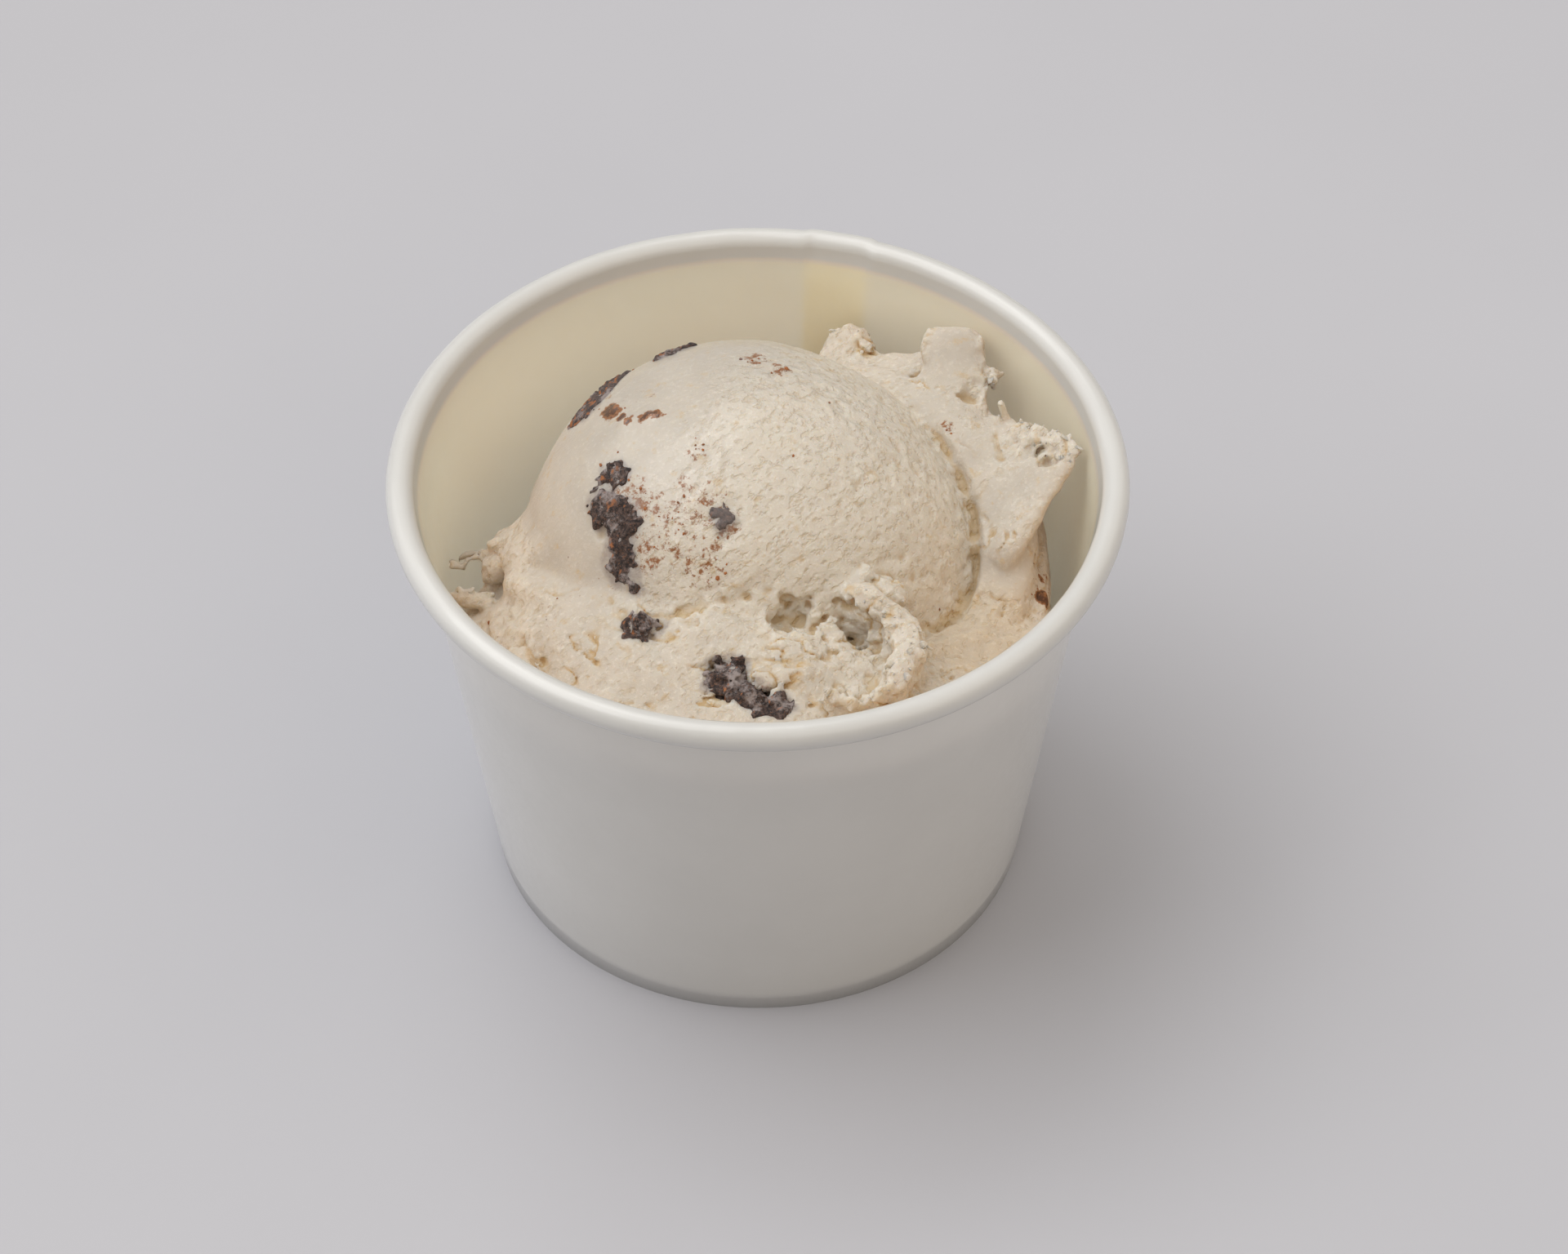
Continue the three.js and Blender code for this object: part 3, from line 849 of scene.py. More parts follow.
@dataclass
class PaperCup:
    """Paper cup: turned side wall with a rolled rim, and the floor disc."""

    rim_diameter: float = 90.0
    height: float = 61.3
    base_diameter: float = 67.5
    neck_diameter: float = 82.9
    neck_height: float = 57.6
    neck_flare: float = 0.6
    paper: float = 0.5
    curl_diameter: float = 3.4
    curl_end_deg: float = -135.0
    hem_height: float = 6.0
    hem_fold: float = 1.2
    sides: int = 320
    curl_steps: int = 26
    wall_steps: int = 18
    seam_deg: float = 76.0
    seam_half_deg: float = 5.5
    seam_step: float = 0.36
    wave_height: float = 0.16
    wave_size: float = 11.0
    wave_reach: float = 40.0
    wave_lift: float = 0.7
    wave_margin: float = 0.5
    wave_start: float = 2.5
    weld: float = 0.0001
    finish: PaperFinish = field(default_factory=PaperFinish)

    def wall_middle(self, z: float | np.ndarray) -> float | np.ndarray:
        """Radius half way through the paper at a height."""
        share = z / self.neck_height
        return self.base_diameter / 2 * (1 - share) + self.neck_diameter / 2 * share - self.paper / 2

    def line(self) -> list[tuple[float, float]]:
        """Middle line of the paper from the hem to the end of the curl.

        Returns:
            Radius and height of each point in millimetres.
        """
        foot = self.paper / 2
        neck = self.neck_height - self.neck_flare
        points = [
            (self.wall_middle(self.hem_height) - self.hem_fold, self.hem_height),
            (self.wall_middle(foot) - self.hem_fold, foot),
        ]
        for step in range(self.wall_steps + 1):
            z = foot + (neck - foot) * step / self.wall_steps
            points.append((self.wall_middle(z), z))
        roll = (self.curl_diameter - self.paper) / 2
        centre = (self.rim_diameter - self.curl_diameter) / 2
        level = self.height - self.curl_diameter / 2
        for step in range(self.curl_steps + 1):
            turn = math.radians(180.0 + (self.curl_end_deg - 180.0) * step / self.curl_steps)
            points.append((centre + roll * math.cos(turn), level + roll * math.sin(turn)))
        return points

    def profile(self) -> tuple[list[Vector], list[float]]:
        """Closed outline of the paper.

        Returns:
            Points with the radius as x and the height as z, and how far each is on the inner face.
        """
        line = [Vector(p) for p in self.line()]
        right, left = [], []
        for n, point in enumerate(line):
            arriving = (point - line[n - 1]).normalized() if n else (line[1] - point).normalized()
            leaving = (line[n + 1] - point).normalized() if n + 1 < len(line) else arriving
            middle = (arriving + leaving).normalized()
            offset = Vector((-middle.y, middle.x)) * (self.paper / 2 / middle.dot(arriving))
            right.append(point - offset)
            left.append(point + offset)
        first = 2
        last = first + self.wall_steps
        inner = [1.0 if first <= n <= last else 0.0 for n in range(len(line))]
        outline = right + left[::-1]
        return [Vector((p.x, 0.0, p.y)) for p in outline], [0.0] * len(line) + inner[::-1]

    def _profile_object(self) -> bpy.types.Object:
        """Helper object that holds the outline.

        Returns:
            The object.
        """
        points, inner = self.profile()
        mesh = bpy.data.meshes.new("paper_profile")
        count = len(points)
        mesh.from_pydata([p * MM for p in points], [(n, (n + 1) % count) for n in range(count)], [])
        layer = mesh.attributes.new(Mark.INNER.value, "FLOAT", "POINT")
        layer.data.foreach_set("value", inner)
        return link_object("paper_profile", mesh)

    def _turning_tree(self) -> GeometryTree:
        """Geometry tree that turns a profile about Z, with a glued seam and a slightly wavy rim.

        Returns:
            The tree.
        """
        lengths = ("Seam Angle", "Seam Half Width", "Seam Step", "Wave Height", "Wave Scale", "Wave Floor")
        kinds = {"Profile": "Geometry", "Sides": "Int", "Points": "Int"}
        kinds |= dict.fromkeys(lengths, "Float") | {"Material": "Material"}
        tree = GeometryTree("turned_paper", kinds)
        given = tree.given
        columns = tree.math("ADD", given["Sides"], 1)
        rows = tree.math("ADD", given["Points"], 1)
        sizes = {"Vertices X": columns, "Vertices Y": rows, "Size X": 1.0, "Size Y": 1.0}
        grid = tree.add("GeometryNodeMeshGrid", sizes).outputs[0]
        on_grid = tree.split(tree.place())
        turn = tree.math("MULTIPLY", tree.math("ADD", on_grid["X"], 0.5), 2.0 * math.pi)
        along = tree.math("MULTIPLY", tree.math("ADD", on_grid["Y"], 0.5), given["Points"])
        number = tree.math("MODULO", tree.math("ROUND", along), given["Points"])
        spot = tree.split(tree.pick(given["Profile"], tree.place(), number, "FLOAT_VECTOR"))
        inner = tree.pick(given["Profile"], tree.read(Mark.INNER), number, "FLOAT")
        off = tree.math("ABSOLUTE", tree.math("SUBTRACT", turn, given["Seam Angle"]))
        on_seam = tree.math("LESS_THAN", off, given["Seam Half Width"])
        on_seam = tree.math("MULTIPLY", on_seam, tree.math("SUBTRACT", 1.0, inner))
        lift = tree.math("MULTIPLY", on_seam, given["Seam Step"])
        flat = tree.join(tree.math("COSINE", turn), tree.math("SINE", turn), 0.0)
        reach = self.wave_reach * MM
        wave = tree.noise(tree.vector("MULTIPLY", flat, (reach, reach, 0.0)), given["Wave Scale"], 3.0, 0.6)
        near_rim = tree.math("SUBTRACT", spot["Z"], given["Wave Floor"])
        near_rim = tree.math("MULTIPLY", near_rim, 1.0 / (self.wave_start * MM), clamp=True)
        wave = tree.math("MULTIPLY", tree.math("SUBTRACT", wave, 0.5), given["Wave Height"])
        wave = tree.math("MULTIPLY", wave, near_rim)
        radius = tree.math("ADD", tree.math("ADD", spot["X"], lift), wave)
        level = tree.math("ADD", spot["Z"], tree.math("MULTIPLY", wave, self.wave_lift))
        moved = tree.vector("ADD", tree.vector("SCALE", flat, radius), tree.join(0.0, 0.0, level))
        marked = tree.store(grid, Mark.INNER, inner)
        shaped = tree.add("GeometryNodeSetPosition", {"Geometry": marked, "Position": moved}).outputs[0]
        welded = {"Geometry": shaped, "Distance": self.weld * MM}
        joined = tree.add("GeometryNodeMergeByDistance", welded).outputs[0]
        tree.close(tree.add("GeometryNodeSetShadeSmooth", {"Geometry": joined}).outputs[0])
        return tree

    def build(self) -> None:
        """Builds the wall, and dresses the floor disc's own solid."""
        material = self.finish.material()
        holder = self._profile_object()
        values = {
            "Sides": self.sides,
            "Points": len(holder.data.vertices),
            "Seam Angle": math.radians(self.seam_deg),
            "Seam Half Width": math.radians(self.seam_half_deg),
            "Seam Step": self.seam_step * MM,
            "Wave Height": self.wave_height * MM * 2,
            "Wave Scale": 1.0 / (self.wave_size * MM),
            "Wave Floor": (self.height - self.curl_diameter - self.wave_margin) * MM,
            "Material": material,
        }
        wall = self._turning_tree().bake("paper_wall", holder, values)
        face_outwards(wall)
        finish_piece(wall, Slot.PAPER, "cup_wall")
        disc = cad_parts["cup_base"]
        disc.data.materials.clear()
        disc.data.materials.append(material)


def face_outwards(piece: bpy.types.Object) -> None:
    """Turns every face of a closed piece outwards."""
    work = bmesh.new()
    work.from_mesh(piece.data)
    bmesh.ops.recalc_face_normals(work, faces=work.faces)
    if work.calc_volume(signed=True) < 0:
        bmesh.ops.reverse_faces(work, faces=work.faces)
    work.to_mesh(piece.data)
    work.free()


@dataclass(frozen=True)
class Patch:
    """Soft ball that marks a stretch of the ice cream, in millimetres."""

    centre: tuple[float, float, float]
    reach: float
    strength: float = 1.0

    def weight(self, points: np.ndarray) -> np.ndarray:
        """Share of the patch at places in millimetres, from 0 to its strength."""
        away = np.linalg.norm(points - np.array(self.centre, np.float32), axis=1)
        return self.strength * smooth(self.reach, 0.4 * self.reach, away)


def cover(patches: Sequence[Patch], points: np.ndarray) -> np.ndarray:
    """Strongest of several patches at each place."""
    return np.max([patch.weight(points) for patch in patches], axis=0)


@dataclass
class Scoop:
    """Ball of the scoop with the lip on its right, in millimetres."""

    centre: tuple[float, float, float] = (-1.96, 5.0, 40.25)
    radius: float = 27.6
    lip_side: tuple[float, float, float] = (0.93, -0.3, 0.12)
    lip_height: float = 2.7
    lip_spread: float = 0.6

    def above(self, points: np.ndarray) -> np.ndarray:
        """Height of places over the skin of the scoop.

        Args:
            points: Places in millimetres, one row each.

        Returns:
            Heights in millimetres, negative inside.
        """
        out = points - np.array(self.centre, np.float32)
        far = np.maximum(np.linalg.norm(out, axis=1), 1e-6)
        side = np.array(self.lip_side, np.float32) / np.linalg.norm(self.lip_side)
        turn = np.arccos(np.clip(out @ side.astype(np.float32) / far, -1.0, 1.0))
        return far - self.radius - self.lip_height * np.exp(-((turn / self.lip_spread) ** 2))


ON_SCOOP = ("cookie_streak", "cookie_left", "cookie_top", "cookie_middle")
SIZE_CHANGE = {"cookie_middle": -0.8, "cookie_left": 0.7, "cookie_streak": -0.1}
HAZED = {"cookie_middle": 0.3, "cookie_left": 0.1}
WEAR = {"cookie_middle": 0.7}


def cookie_nodes() -> list[str]:
    """Names of the cookie nodes."""
    return sorted(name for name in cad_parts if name.startswith("cookie_"))


class Bit:
    """Something ragged that is added to a solid or cut out of it."""

    @staticmethod
    def merge(form: VoxelForm, box: tuple[slice, ...], away: np.ndarray, adds: bool) -> None:
        """Joins distances to a solid.

        Args:
            form: Solid to change.
            box: Part of its grid.
            away: Distances from the skin of the bit, one for each cell.
            adds: Whether the bit is added.
        """
        old = form.field[box]
        away = away.reshape(old.shape)
        form.field[box] = np.minimum(old, away) if adds else np.maximum(old, -away)


@dataclass(frozen=True)
class Blob(Bit):
    """Ragged ball or block of ice cream, or a hollow of that form, in millimetres."""

    centre: tuple[float, float, float]
    size: tuple[float, float, float]
    turn_deg: tuple[float, float, float] = (0.0, 0.0, 0.0)
    ragged: float = 0.4
    square: float = 2.0
    lumps: float = 1.6
    reach: float = 2.0

    def press(self, form: VoxelForm, noise: Noise, adds: bool) -> None:
        """Adds the blob to a solid, or cuts it out.

        Args:
            form: Solid to change.
            noise: What makes the skin ragged.
            adds: Whether the blob is added.
        """
        box, points = form.block(self.centre, max(self.size) + self.reach)
        turn = Euler([math.radians(angle) for angle in self.turn_deg]).to_matrix()
        local = (points - np.array(self.centre, np.float32)) @ np.array(turn, np.float32)
        share = np.abs(local) / np.array(self.size, np.float32)
        far = np.sum(share**self.square, axis=1) ** (1.0 / self.square)
        away = (far - 1.0) * min(self.size) + self.ragged * noise.layers(points, self.lumps, 3)
        self.merge(form, box, away, adds)


@dataclass(frozen=True)
class Strand(Bit):
    """Ragged string of ice cream along a line of places, or a groove of that form, in millimetres."""

    line: tuple[tuple[float, float, float], ...]
    radius: float
    ragged: float = 0.3
    lumps: float = 1.4
    reach: float = 2.0

    def press(self, form: VoxelForm, noise: Noise, adds: bool) -> None:
        """Adds the strand to a solid, or cuts it out.

        Args:
            form: Solid to change.
            noise: What makes the skin ragged.
            adds: Whether the strand is added.
        """
        for first, last in zip(self.line, self.line[1:]):
            start = np.array(first, np.float32)
            step = np.array(last, np.float32) - start
            half = float(np.linalg.norm(step)) / 2
            box, points = form.block(start + step / 2, half + self.radius + self.reach)
            share = np.clip((points - start) @ step / (step @ step), 0.0, 1.0)
            away = np.linalg.norm(points - start - share[:, None] * step, axis=1) - self.radius
            away += self.ragged * noise.layers(points, self.lumps, 2)
            self.merge(form, box, away, adds)


@dataclass(frozen=True)
class Relief:
    """One kind of roughness, in millimetres: size of its lumps, depth, and depth added where torn.

    The shift keeps its noise apart from that of another kind with the same seed.
    """

    size: float
    depth: float
    torn: float = 0.0
    shift: float = 0.0

    def depths(self, torn: np.ndarray) -> np.ndarray:
        """Depth at places that are torn by a share from 0 to 1."""
        return self.depth + self.torn * torn


@dataclass
class IceCream:
    """Scoop of ice cream in its torn bed, cut finer than the solid it stands for."""

    voxel: float = 0.3
    band: float = 4.0
    detail_floor: float = 29.0
    triangles: int = 190000
    fillet: float = 1.0
    edge_loss: float = 0.25
    wide_fillet: float = 3.4
    paper_clearance: float = 0.15
    margin: float = 3.0
    cookie_band: float = 2.8
    cookie_fill: float = 0.4
    cookie_bed: float = 0.7
    skin_depth: float = 1.6
    edge_reach: float = 2.0
    crease_reach: float = 1.0
    hollow_reach: float = 3.0
    floor_overlap: float = 2.0
    least_rough: float = 0.18
    front_rough: float = 0.8
    bed_rough: float = 0.45
    torn_rough: float = 0.3
    smoothed_calm: float = 0.55
    edge_calm: float = 0.6
    edge_cut: float = 0.15
    crag_warp: float = 0.5
    # Painted light by the left wall: less golden shade and lighter, rougher frost there.
    left_painted_light: float = 0.8
    # Shares of the painted golden shade in creases, broad hollows and cracks.
    crease_shade_share: float = 0.6
    hollow_shade_share: float = 0.85
    crack_shade_share: float = 0.8
    haze_share: float = 0.7
    trowelled_calm: float = 0.65
    dimple_patch: float = 6.0
    crack_patch: float = 3.4
    crumb_patch: float = 2.2
    drag_stretch: float = 1.7
    ring_radius: float = 36.0
    ring_stretch: float = 2.6
    swell: Relief = Relief(9.0, 0.24)
    wrinkle: Relief = Relief(1.6, 0.08)
    dimple: Relief = Relief(1.25, 0.22, shift=40.0)
    granule: Relief = Relief(0.75, 0.17, shift=15.0)
    lump: Relief = Relief(3.6, 0.2, 0.1)
    grain: Relief = Relief(1.1, 0.11, 0.17, shift=20.0)
    crag: Relief = Relief(2.0, 0.0, 0.3)
    tooth: Relief = Relief(1.3, 0.25, 0.3, shift=80.0)
    crack: Relief = Relief(2.2, 0.5)
    scoop_edge: Relief = Relief(3.0, 0.3)
    undercut_edge: Relief = Relief(1.2, 0.4)
    smear: Relief = Relief(1.6, 0.8)
    scoop: Scoop = field(default_factory=Scoop)
    trowelled: tuple[Patch, ...] = (
        Patch((30.5, -5.0, 48.0), 5.5),
        Patch((30.0, 3.0, 51.0), 5.0),
        Patch((27.0, 10.5, 53.5), 5.0, 0.8),
        Patch((21.5, 17.0, 53.5), 5.0, 0.8),
        Patch((24.4, 24.5, 57.0), 6.0),
        Patch((34.0, 4.0, 54.5), 5.0, 0.6),
        Patch((26.0, -17.0, 47.5), 9.0, 0.5),
        Patch((-24.0, -6.0, 49.0), 6.5),
        Patch((-20.5, -12.0, 51.5), 5.5),
    )
    torn: tuple[Patch, ...] = (
        Patch((4.0, -19.0, 54.5), 6.5),
        Patch((11.0, -21.0, 54.0), 8.0),
        Patch((13.0, -28.0, 53.5), 8.0),
        Patch((18.0, -24.0, 53.5), 7.0),
        Patch((24.0, -20.0, 48.5), 9.0, 0.8),
        Patch((29.0, -13.0, 46.5), 7.0, 0.6),
        Patch((28.8, 20.5, 55.0), 4.5, 0.8),
        Patch((33.5, 11.5, 57.0), 6.0),
        Patch((38.5, 9.0, 58.0), 5.5),
        Patch((-32.0, 4.0, 43.5), 5.5, 0.3),
        Patch((-35.0, -1.5, 41.5), 5.0, 0.3),
        Patch((-30.0, -12.0, 46.0), 9.0, 0.4),
        Patch((12.5, 34.0, 52.5), 6.0),
    )
    # Painted shade: a tan tint over the right front of the bed.
    right_front_shade: tuple[Patch, ...] = (Patch((27.0, -16.0, 47.0), 12.0, 0.25),)
    undercut_depth: float = 1.1
    undercut: tuple[Patch, ...] = (
        Patch((21.7, 10.7, 54.6), 4.0, 0.8),
        Patch((24.6, 6.0, 54.0), 4.0, 0.8),
        Patch((27.0, 0.8, 51.6), 4.5),
        Patch((27.9, -4.4, 49.6), 4.5),
        Patch((26.4, -8.0, 47.9), 4.5),
        Patch((23.0, -12.0, 47.4), 4.5),
        Patch((19.0, -15.5, 49.0), 4.5),
    )
    hollows: tuple[Blob | Strand, ...] = (
        Blob((-8.5, -20.0, 56.1), (2.3, 1.5, 1.7), ragged=0.5),
        Blob((4.4, -18.6, 54.5), (3.3, 2.4, 2.5), ragged=0.9),
        Blob((11.3, -19.2, 53.4), (1.0, 2.6, 3.4), (0.0, 0.0, 33.0), 0.7),
        Blob((13.4, -22.0, 53.8), (1.6, 2.4, 2.2), ragged=0.8),
        Blob((10.2, -24.6, 54.0), (2.6, 2.2, 2.0), ragged=0.8),
        Blob((12.5, -29.6, 54.9), (3.2, 2.0, 2.8), (0.0, 0.0, 40.0), 0.8),
        Blob((27.3, 19.6, 56.6), (1.9, 1.7, 2.6), (0.0, 25.0, 0.0), 0.9),
        Blob((35.4, 5.6, 57.5), (1.1, 0.8, 1.6), ragged=0.5),
        Blob((32.9, 8.4, 56.7), (1.2, 1.0, 1.0), ragged=0.6),
        Blob((21.8, 10.7, 55.2), (0.9, 1.6, 1.2), ragged=0.5),
        Blob((-32.2, -1.8, 42.0), (1.8, 1.0, 0.9), ragged=0.4),
        Blob((-19.0, -7.7, 58.0), (0.9, 1.0, 1.0), ragged=0.3),
        Strand(
            ((-9.6, -17.8, 54.8), (-5.7, -18.0, 55.9), (-2.3, -17.7, 56.6), (3.1, -17.0, 57.0)), 0.6, 0.4
        ),
    )
    flakes: tuple[Blob | Strand, ...] = (
        Blob((11.8, -13.8, 55.6), (3.0, 2.0, 1.2), ragged=0.5),
        Blob((14.6, -15.6, 54.4), (3.0, 3.2, 2.0), ragged=0.5),
        Blob((8.9, -30.9, 53.4), (1.5, 0.6, 2.4), (0.0, 12.0, 0.0), 0.3, 3.0),
        Blob((24.5, 25.6, 55.1), (3.75, 3.6, 2.1), (28.0, 0.0, 0.0), 0.2, 8.0),
        Blob((30.9, 22.0, 54.0), (1.5, 0.5, 0.6), (0.0, -25.0, 0.0), 0.3, 3.0),
        Blob((29.4, 21.8, 54.0), (0.6, 1.2, 2.6), (0.0, 8.0, 0.0), 0.35, 3.0),
        Blob((-32.0, 0.0, 39.5), (2.5, 3.0, 2.4), ragged=0.4),
        Blob((-32.1, 3.2, 45.0), (1.8, 0.9, 1.4), (0.0, -10.0, 0.0), 0.7),
        Blob((-31.8, 0.9, 42.9), (2.6, 1.9, 2.0), ragged=0.5),
        Blob((-36.9, -2.5, 43.0), (1.0, 0.6, 0.8), ragged=0.5),
        Blob((-35.4, -3.2, 43.0), (1.4, 0.7, 0.8), ragged=0.5),
        Blob((-33.8, -3.6, 43.0), (1.2, 0.7, 0.7), ragged=0.5),
        Strand(((-37.2, -3.3, 42.2), (-33.0, -4.6, 42.6)), 1.0, 0.3),
        Strand(((30.6, 15.4, 53.5), (30.5, 15.4, 55.4), (30.2, 15.4, 57.2)), 0.55, 0.2),
        Strand(((-32.2, 1.6, 43.0), (-33.6, 3.0, 43.0), (-35.4, 2.8, 43.0)), 0.65, 0.3),
        Strand(((-35.4, 2.8, 43.0), (-36.4, 2.0, 42.6), (-37.8, 1.6, 43.0)), 0.65, 0.3),
    )
    crumbly: tuple[Patch, ...] = (
        Patch((-15.5, -6.0, 60.5), 6.0, 0.9),
        Patch((-12.5, -9.0, 61.0), 6.5, 0.75),
        Patch((-12.5, -12.5, 58.5), 5.0, 0.75),
        Patch((-7.0, -10.0, 62.5), 8.0, 0.7),
        Patch((-6.5, -14.0, 59.5), 6.0, 0.7),
        Patch((-8.6, -6.0, 64.6), 2.0, 0.9),
        Patch((-3.2, -11.4, 62.4), 2.4, 0.8),
        Patch((-13.4, -19.0, 55.5), 4.5, 0.6),
        Patch((-1.5, -29.0, 53.5), 6.0, 0.55),
        Patch((-18.3, 9.2, 62.2), 2.0, 1.4),
        Patch((-17.5, 7.9, 62.9), 1.7, 1.4),
        Patch((-16.5, 6.3, 63.7), 1.1, 1.5),
        Patch((-15.7, 5.0, 64.2), 1.0, 1.5),
        Patch((-13.7, 4.9, 65.2), 1.5, 1.3),
        Patch((-12.4, 4.6, 65.7), 1.4, 1.3),
        Patch((-11.4, 4.3, 66.1), 0.8, 1.1),
        Patch((34.7, -7.0, 45.2), 2.0, 1.5),
        Patch((34.9, -4.0, 46.2), 1.2, 1.4),
        Patch((35.2, -0.8, 47.6), 0.9, 1.3),
        Patch((-15.0, 8.0, 64.5), 6.0, 0.5),
        Patch((-19.1, 13.9, 60.1), 5.0, 0.6),
        Patch((2.7, 11.5, 66.7), 2.4, 0.9),
        Patch((-0.2, 14.2, 66.2), 2.8, 0.8),
        Patch((-7.5, -2.6, 66.1), 2.6, 0.7),
        Patch((-22.0, -14.0, 50.5), 12.0, 0.42),
        Patch((-8.0, -26.0, 53.0), 9.0, 0.42),
        Patch((6.0, -25.0, 53.5), 9.0, 0.4),
        Patch((23.5, 13.5, 54.5), 2.4, 0.7),
        Patch((34.5, -5.0, 45.0), 5.0, 0.6),
    )
    stray_crumbs: float = 0.003
    form: VoxelForm | None = None
    cookies: dict[str, VoxelForm] = field(default_factory=dict)

    def build(self, material: bpy.types.Material) -> bpy.types.Object:
        """Builds the piece.

        Args:
            material: Its finish.

        Returns:
            The piece.
        """
        form = VoxelForm("ice_cream", self.voxel, self.margin, self.band)
        self._fill_pockets(form)
        self._soften(form)
        noise = Noise(Seed.FLAKES)
        for flake in self.flakes:
            flake.press(form, noise, adds=True)
        for hollow in self.hollows:
            hollow.press(form, noise, adds=False)
        self._tear(form)
        self.form = form
        places, faces = form.skin()
        piece = new_piece("ice_cream_scoop", places, faces, material)
        hidden = piece.vertex_groups.new(name="hidden")
        hidden.add(np.flatnonzero(places[:, 2] < self.detail_floor).tolist(), 1.0, "REPLACE")
        thin_out(piece, self.triangles, hidden.name)
        thin_out(piece, self.triangles)
        self._keep_off_paper(piece)
        set_marks(piece, self._marks(form, vertex_places(piece)))
        finish_piece(piece, Slot.ICE_CREAM, "ice_cream")
        return piece

    def _fill_pockets(self, form: VoxelForm) -> None:
        """Fills the pockets of the cookie pieces, which are drawn over the ice cream instead.

        Args:
            form: Solid to change.
        """
        for node in cookie_nodes():
            cookie = VoxelForm(node, self.voxel, self.margin, self.cookie_band)
            self.cookies[node] = cookie
            reach = np.array(cookie.field.shape) * self.voxel / 2
            box, points = form.block(cookie.low + reach, float(reach.max()))
            fill = self._cookie_distance(cookie, points) - self.cookie_fill
            if node in ON_SCOOP:
                fill = np.maximum(fill, self.scoop.above(points))
            else:
                fill += self.cookie_bed
            old = form.field[box]
            form.field[box] = np.minimum(old, fill.reshape(old.shape))

    def _cookie_distance(self, cookie: VoxelForm, points: np.ndarray) -> np.ndarray:
        """Distance of places from a cookie piece.

        Args:
            cookie: The piece.
            points: Places in millimetres, one row each.

        Returns:
            Distances in millimetres, negative inside.
        """
        high = cookie.low + np.array(cookie.field.shape) * self.voxel - self.voxel
        near = np.all((points > cookie.low) & (points < high), axis=1)
        away = np.full(len(points), self.band, np.float32)
        away[near] = cookie.sample(cookie.field, points[near])
        return away

    def _soften(self, form: VoxelForm) -> None:
        """Rounds the facets, and fills the creases where the ice cream was trowelled.

        Args:
            form: Solid to change.
        """
        form.field = np.minimum(form.blurred(self.fillet), form.field + self.edge_loss)
        wide = form.blurred(self.wide_fillet)
        cells = wide < form.field
        cells &= np.abs(form.field) < self.band * 0.9
        points = form.points(cells)
        share = cover(self.trowelled, points) * smooth(0.8, 2.4, self.scoop.above(points))
        form.field[cells] += share * (wide - form.field)[cells]

    def _tear(self, form: VoxelForm) -> None:
        """Roughens the surface: wrinkles and dimples on the scoop, cracks and torn edges on the bed.

        Args:
            form: Solid to change.
        """
        heights = np.arange(form.field.shape[2]) * form.voxel + form.low[2]
        cells = (np.abs(form.field) < self.skin_depth) & (heights > self.detail_floor - self.floor_overlap)
        points = form.points(cells)
        convex = (form.blurred(self.edge_reach) - form.field)[cells]
        above = self.scoop.above(points)
        edge = smooth(0.15, 0.7, convex)
        uneven = self.scoop_edge.depth * Noise(Seed.SCOOP_EDGE).value(points, self.scoop_edge.size)
        on_bed = smooth(0.15, 1.0, above + uneven)
        relief = self._scoop_relief(points)
        relief += on_bed * (self._bed_relief(points, edge) - relief)
        relief *= 1.0 - self.trowelled_calm * cover(self.trowelled, points) * smooth(0.2, 1.2, above)
        ragged = self.undercut_edge.depth * Noise(Seed.UNDERCUT).layers(points, self.undercut_edge.size, 2)
        moat = cover(self.undercut, points) * smooth(-0.05, 0.3, above + ragged) * smooth(2.2, 0.6, above)
        form.field[cells] += relief + self.undercut_depth * moat

    def _roughness(self, points: np.ndarray) -> np.ndarray:
        """How wrinkled the scoop is: smooth at the upper left, rough at the right and the front.

        Args:
            points: Places in millimetres, one row each.

        Returns:
            Values from the least roughness to 1.
        """
        x, y, z = points.T
        low = self.front_rough * smooth(58.0, 52.0, z) * smooth(-12.0, -3.0, x)
        return np.clip(smooth(-18.0, 4.0, x - 0.5 * y) + low, self.least_rough, 1.0)

    def _scoop_relief(self, points: np.ndarray) -> np.ndarray:
        """Depth of the wrinkles and dimples dragged across the scoop.

        Args:
            points: Places in millimetres, one row each.

        Returns:
            Depths in millimetres.
        """
        noise = Noise(Seed.SCOOP)
        axis = np.array(DRAG, np.float32)
        shrink = np.float32(1.0 - 1.0 / self.drag_stretch)
        dragged = points - np.outer(points @ axis, axis) * shrink
        patchy = smooth(-0.5, 0.3, noise.value(points, self.dimple_patch))
        dimple = smooth(0.05, 0.5, noise.layers(dragged + self.dimple.shift, self.dimple.size, 2)) * patchy
        granular = noise.value(points + self.granule.shift, self.granule.size)
        granular *= smooth(-4.0, 14.0, points[:, 0])
        wrinkle = noise.layers(dragged, self.wrinkle.size, 2)
        fine = self.wrinkle.depth * wrinkle + self.dimple.depth * dimple + self.granule.depth * granular
        return self.swell.depth * noise.value(points, self.swell.size) + self._roughness(points) * fine

    def _cracks(self, points: np.ndarray) -> np.ndarray:
        """Where thin cracks run along the rim.

        Args:
            points: Places in millimetres, one row each.

        Returns:
            Values from 0 to 1.
        """
        noise = Noise(Seed.CRACKS)
        x, y, z = points.T
        angle = np.arctan2(x, -y) * self.ring_radius / self.ring_stretch
        ring = np.column_stack([np.hypot(x, y), angle, z]).astype(np.float32)
        line = np.abs(noise.layers(ring, self.crack.size, 3))
        return smooth(0.2, 0.04, line) * smooth(-0.1, 0.35, noise.value(points, self.crack_patch))

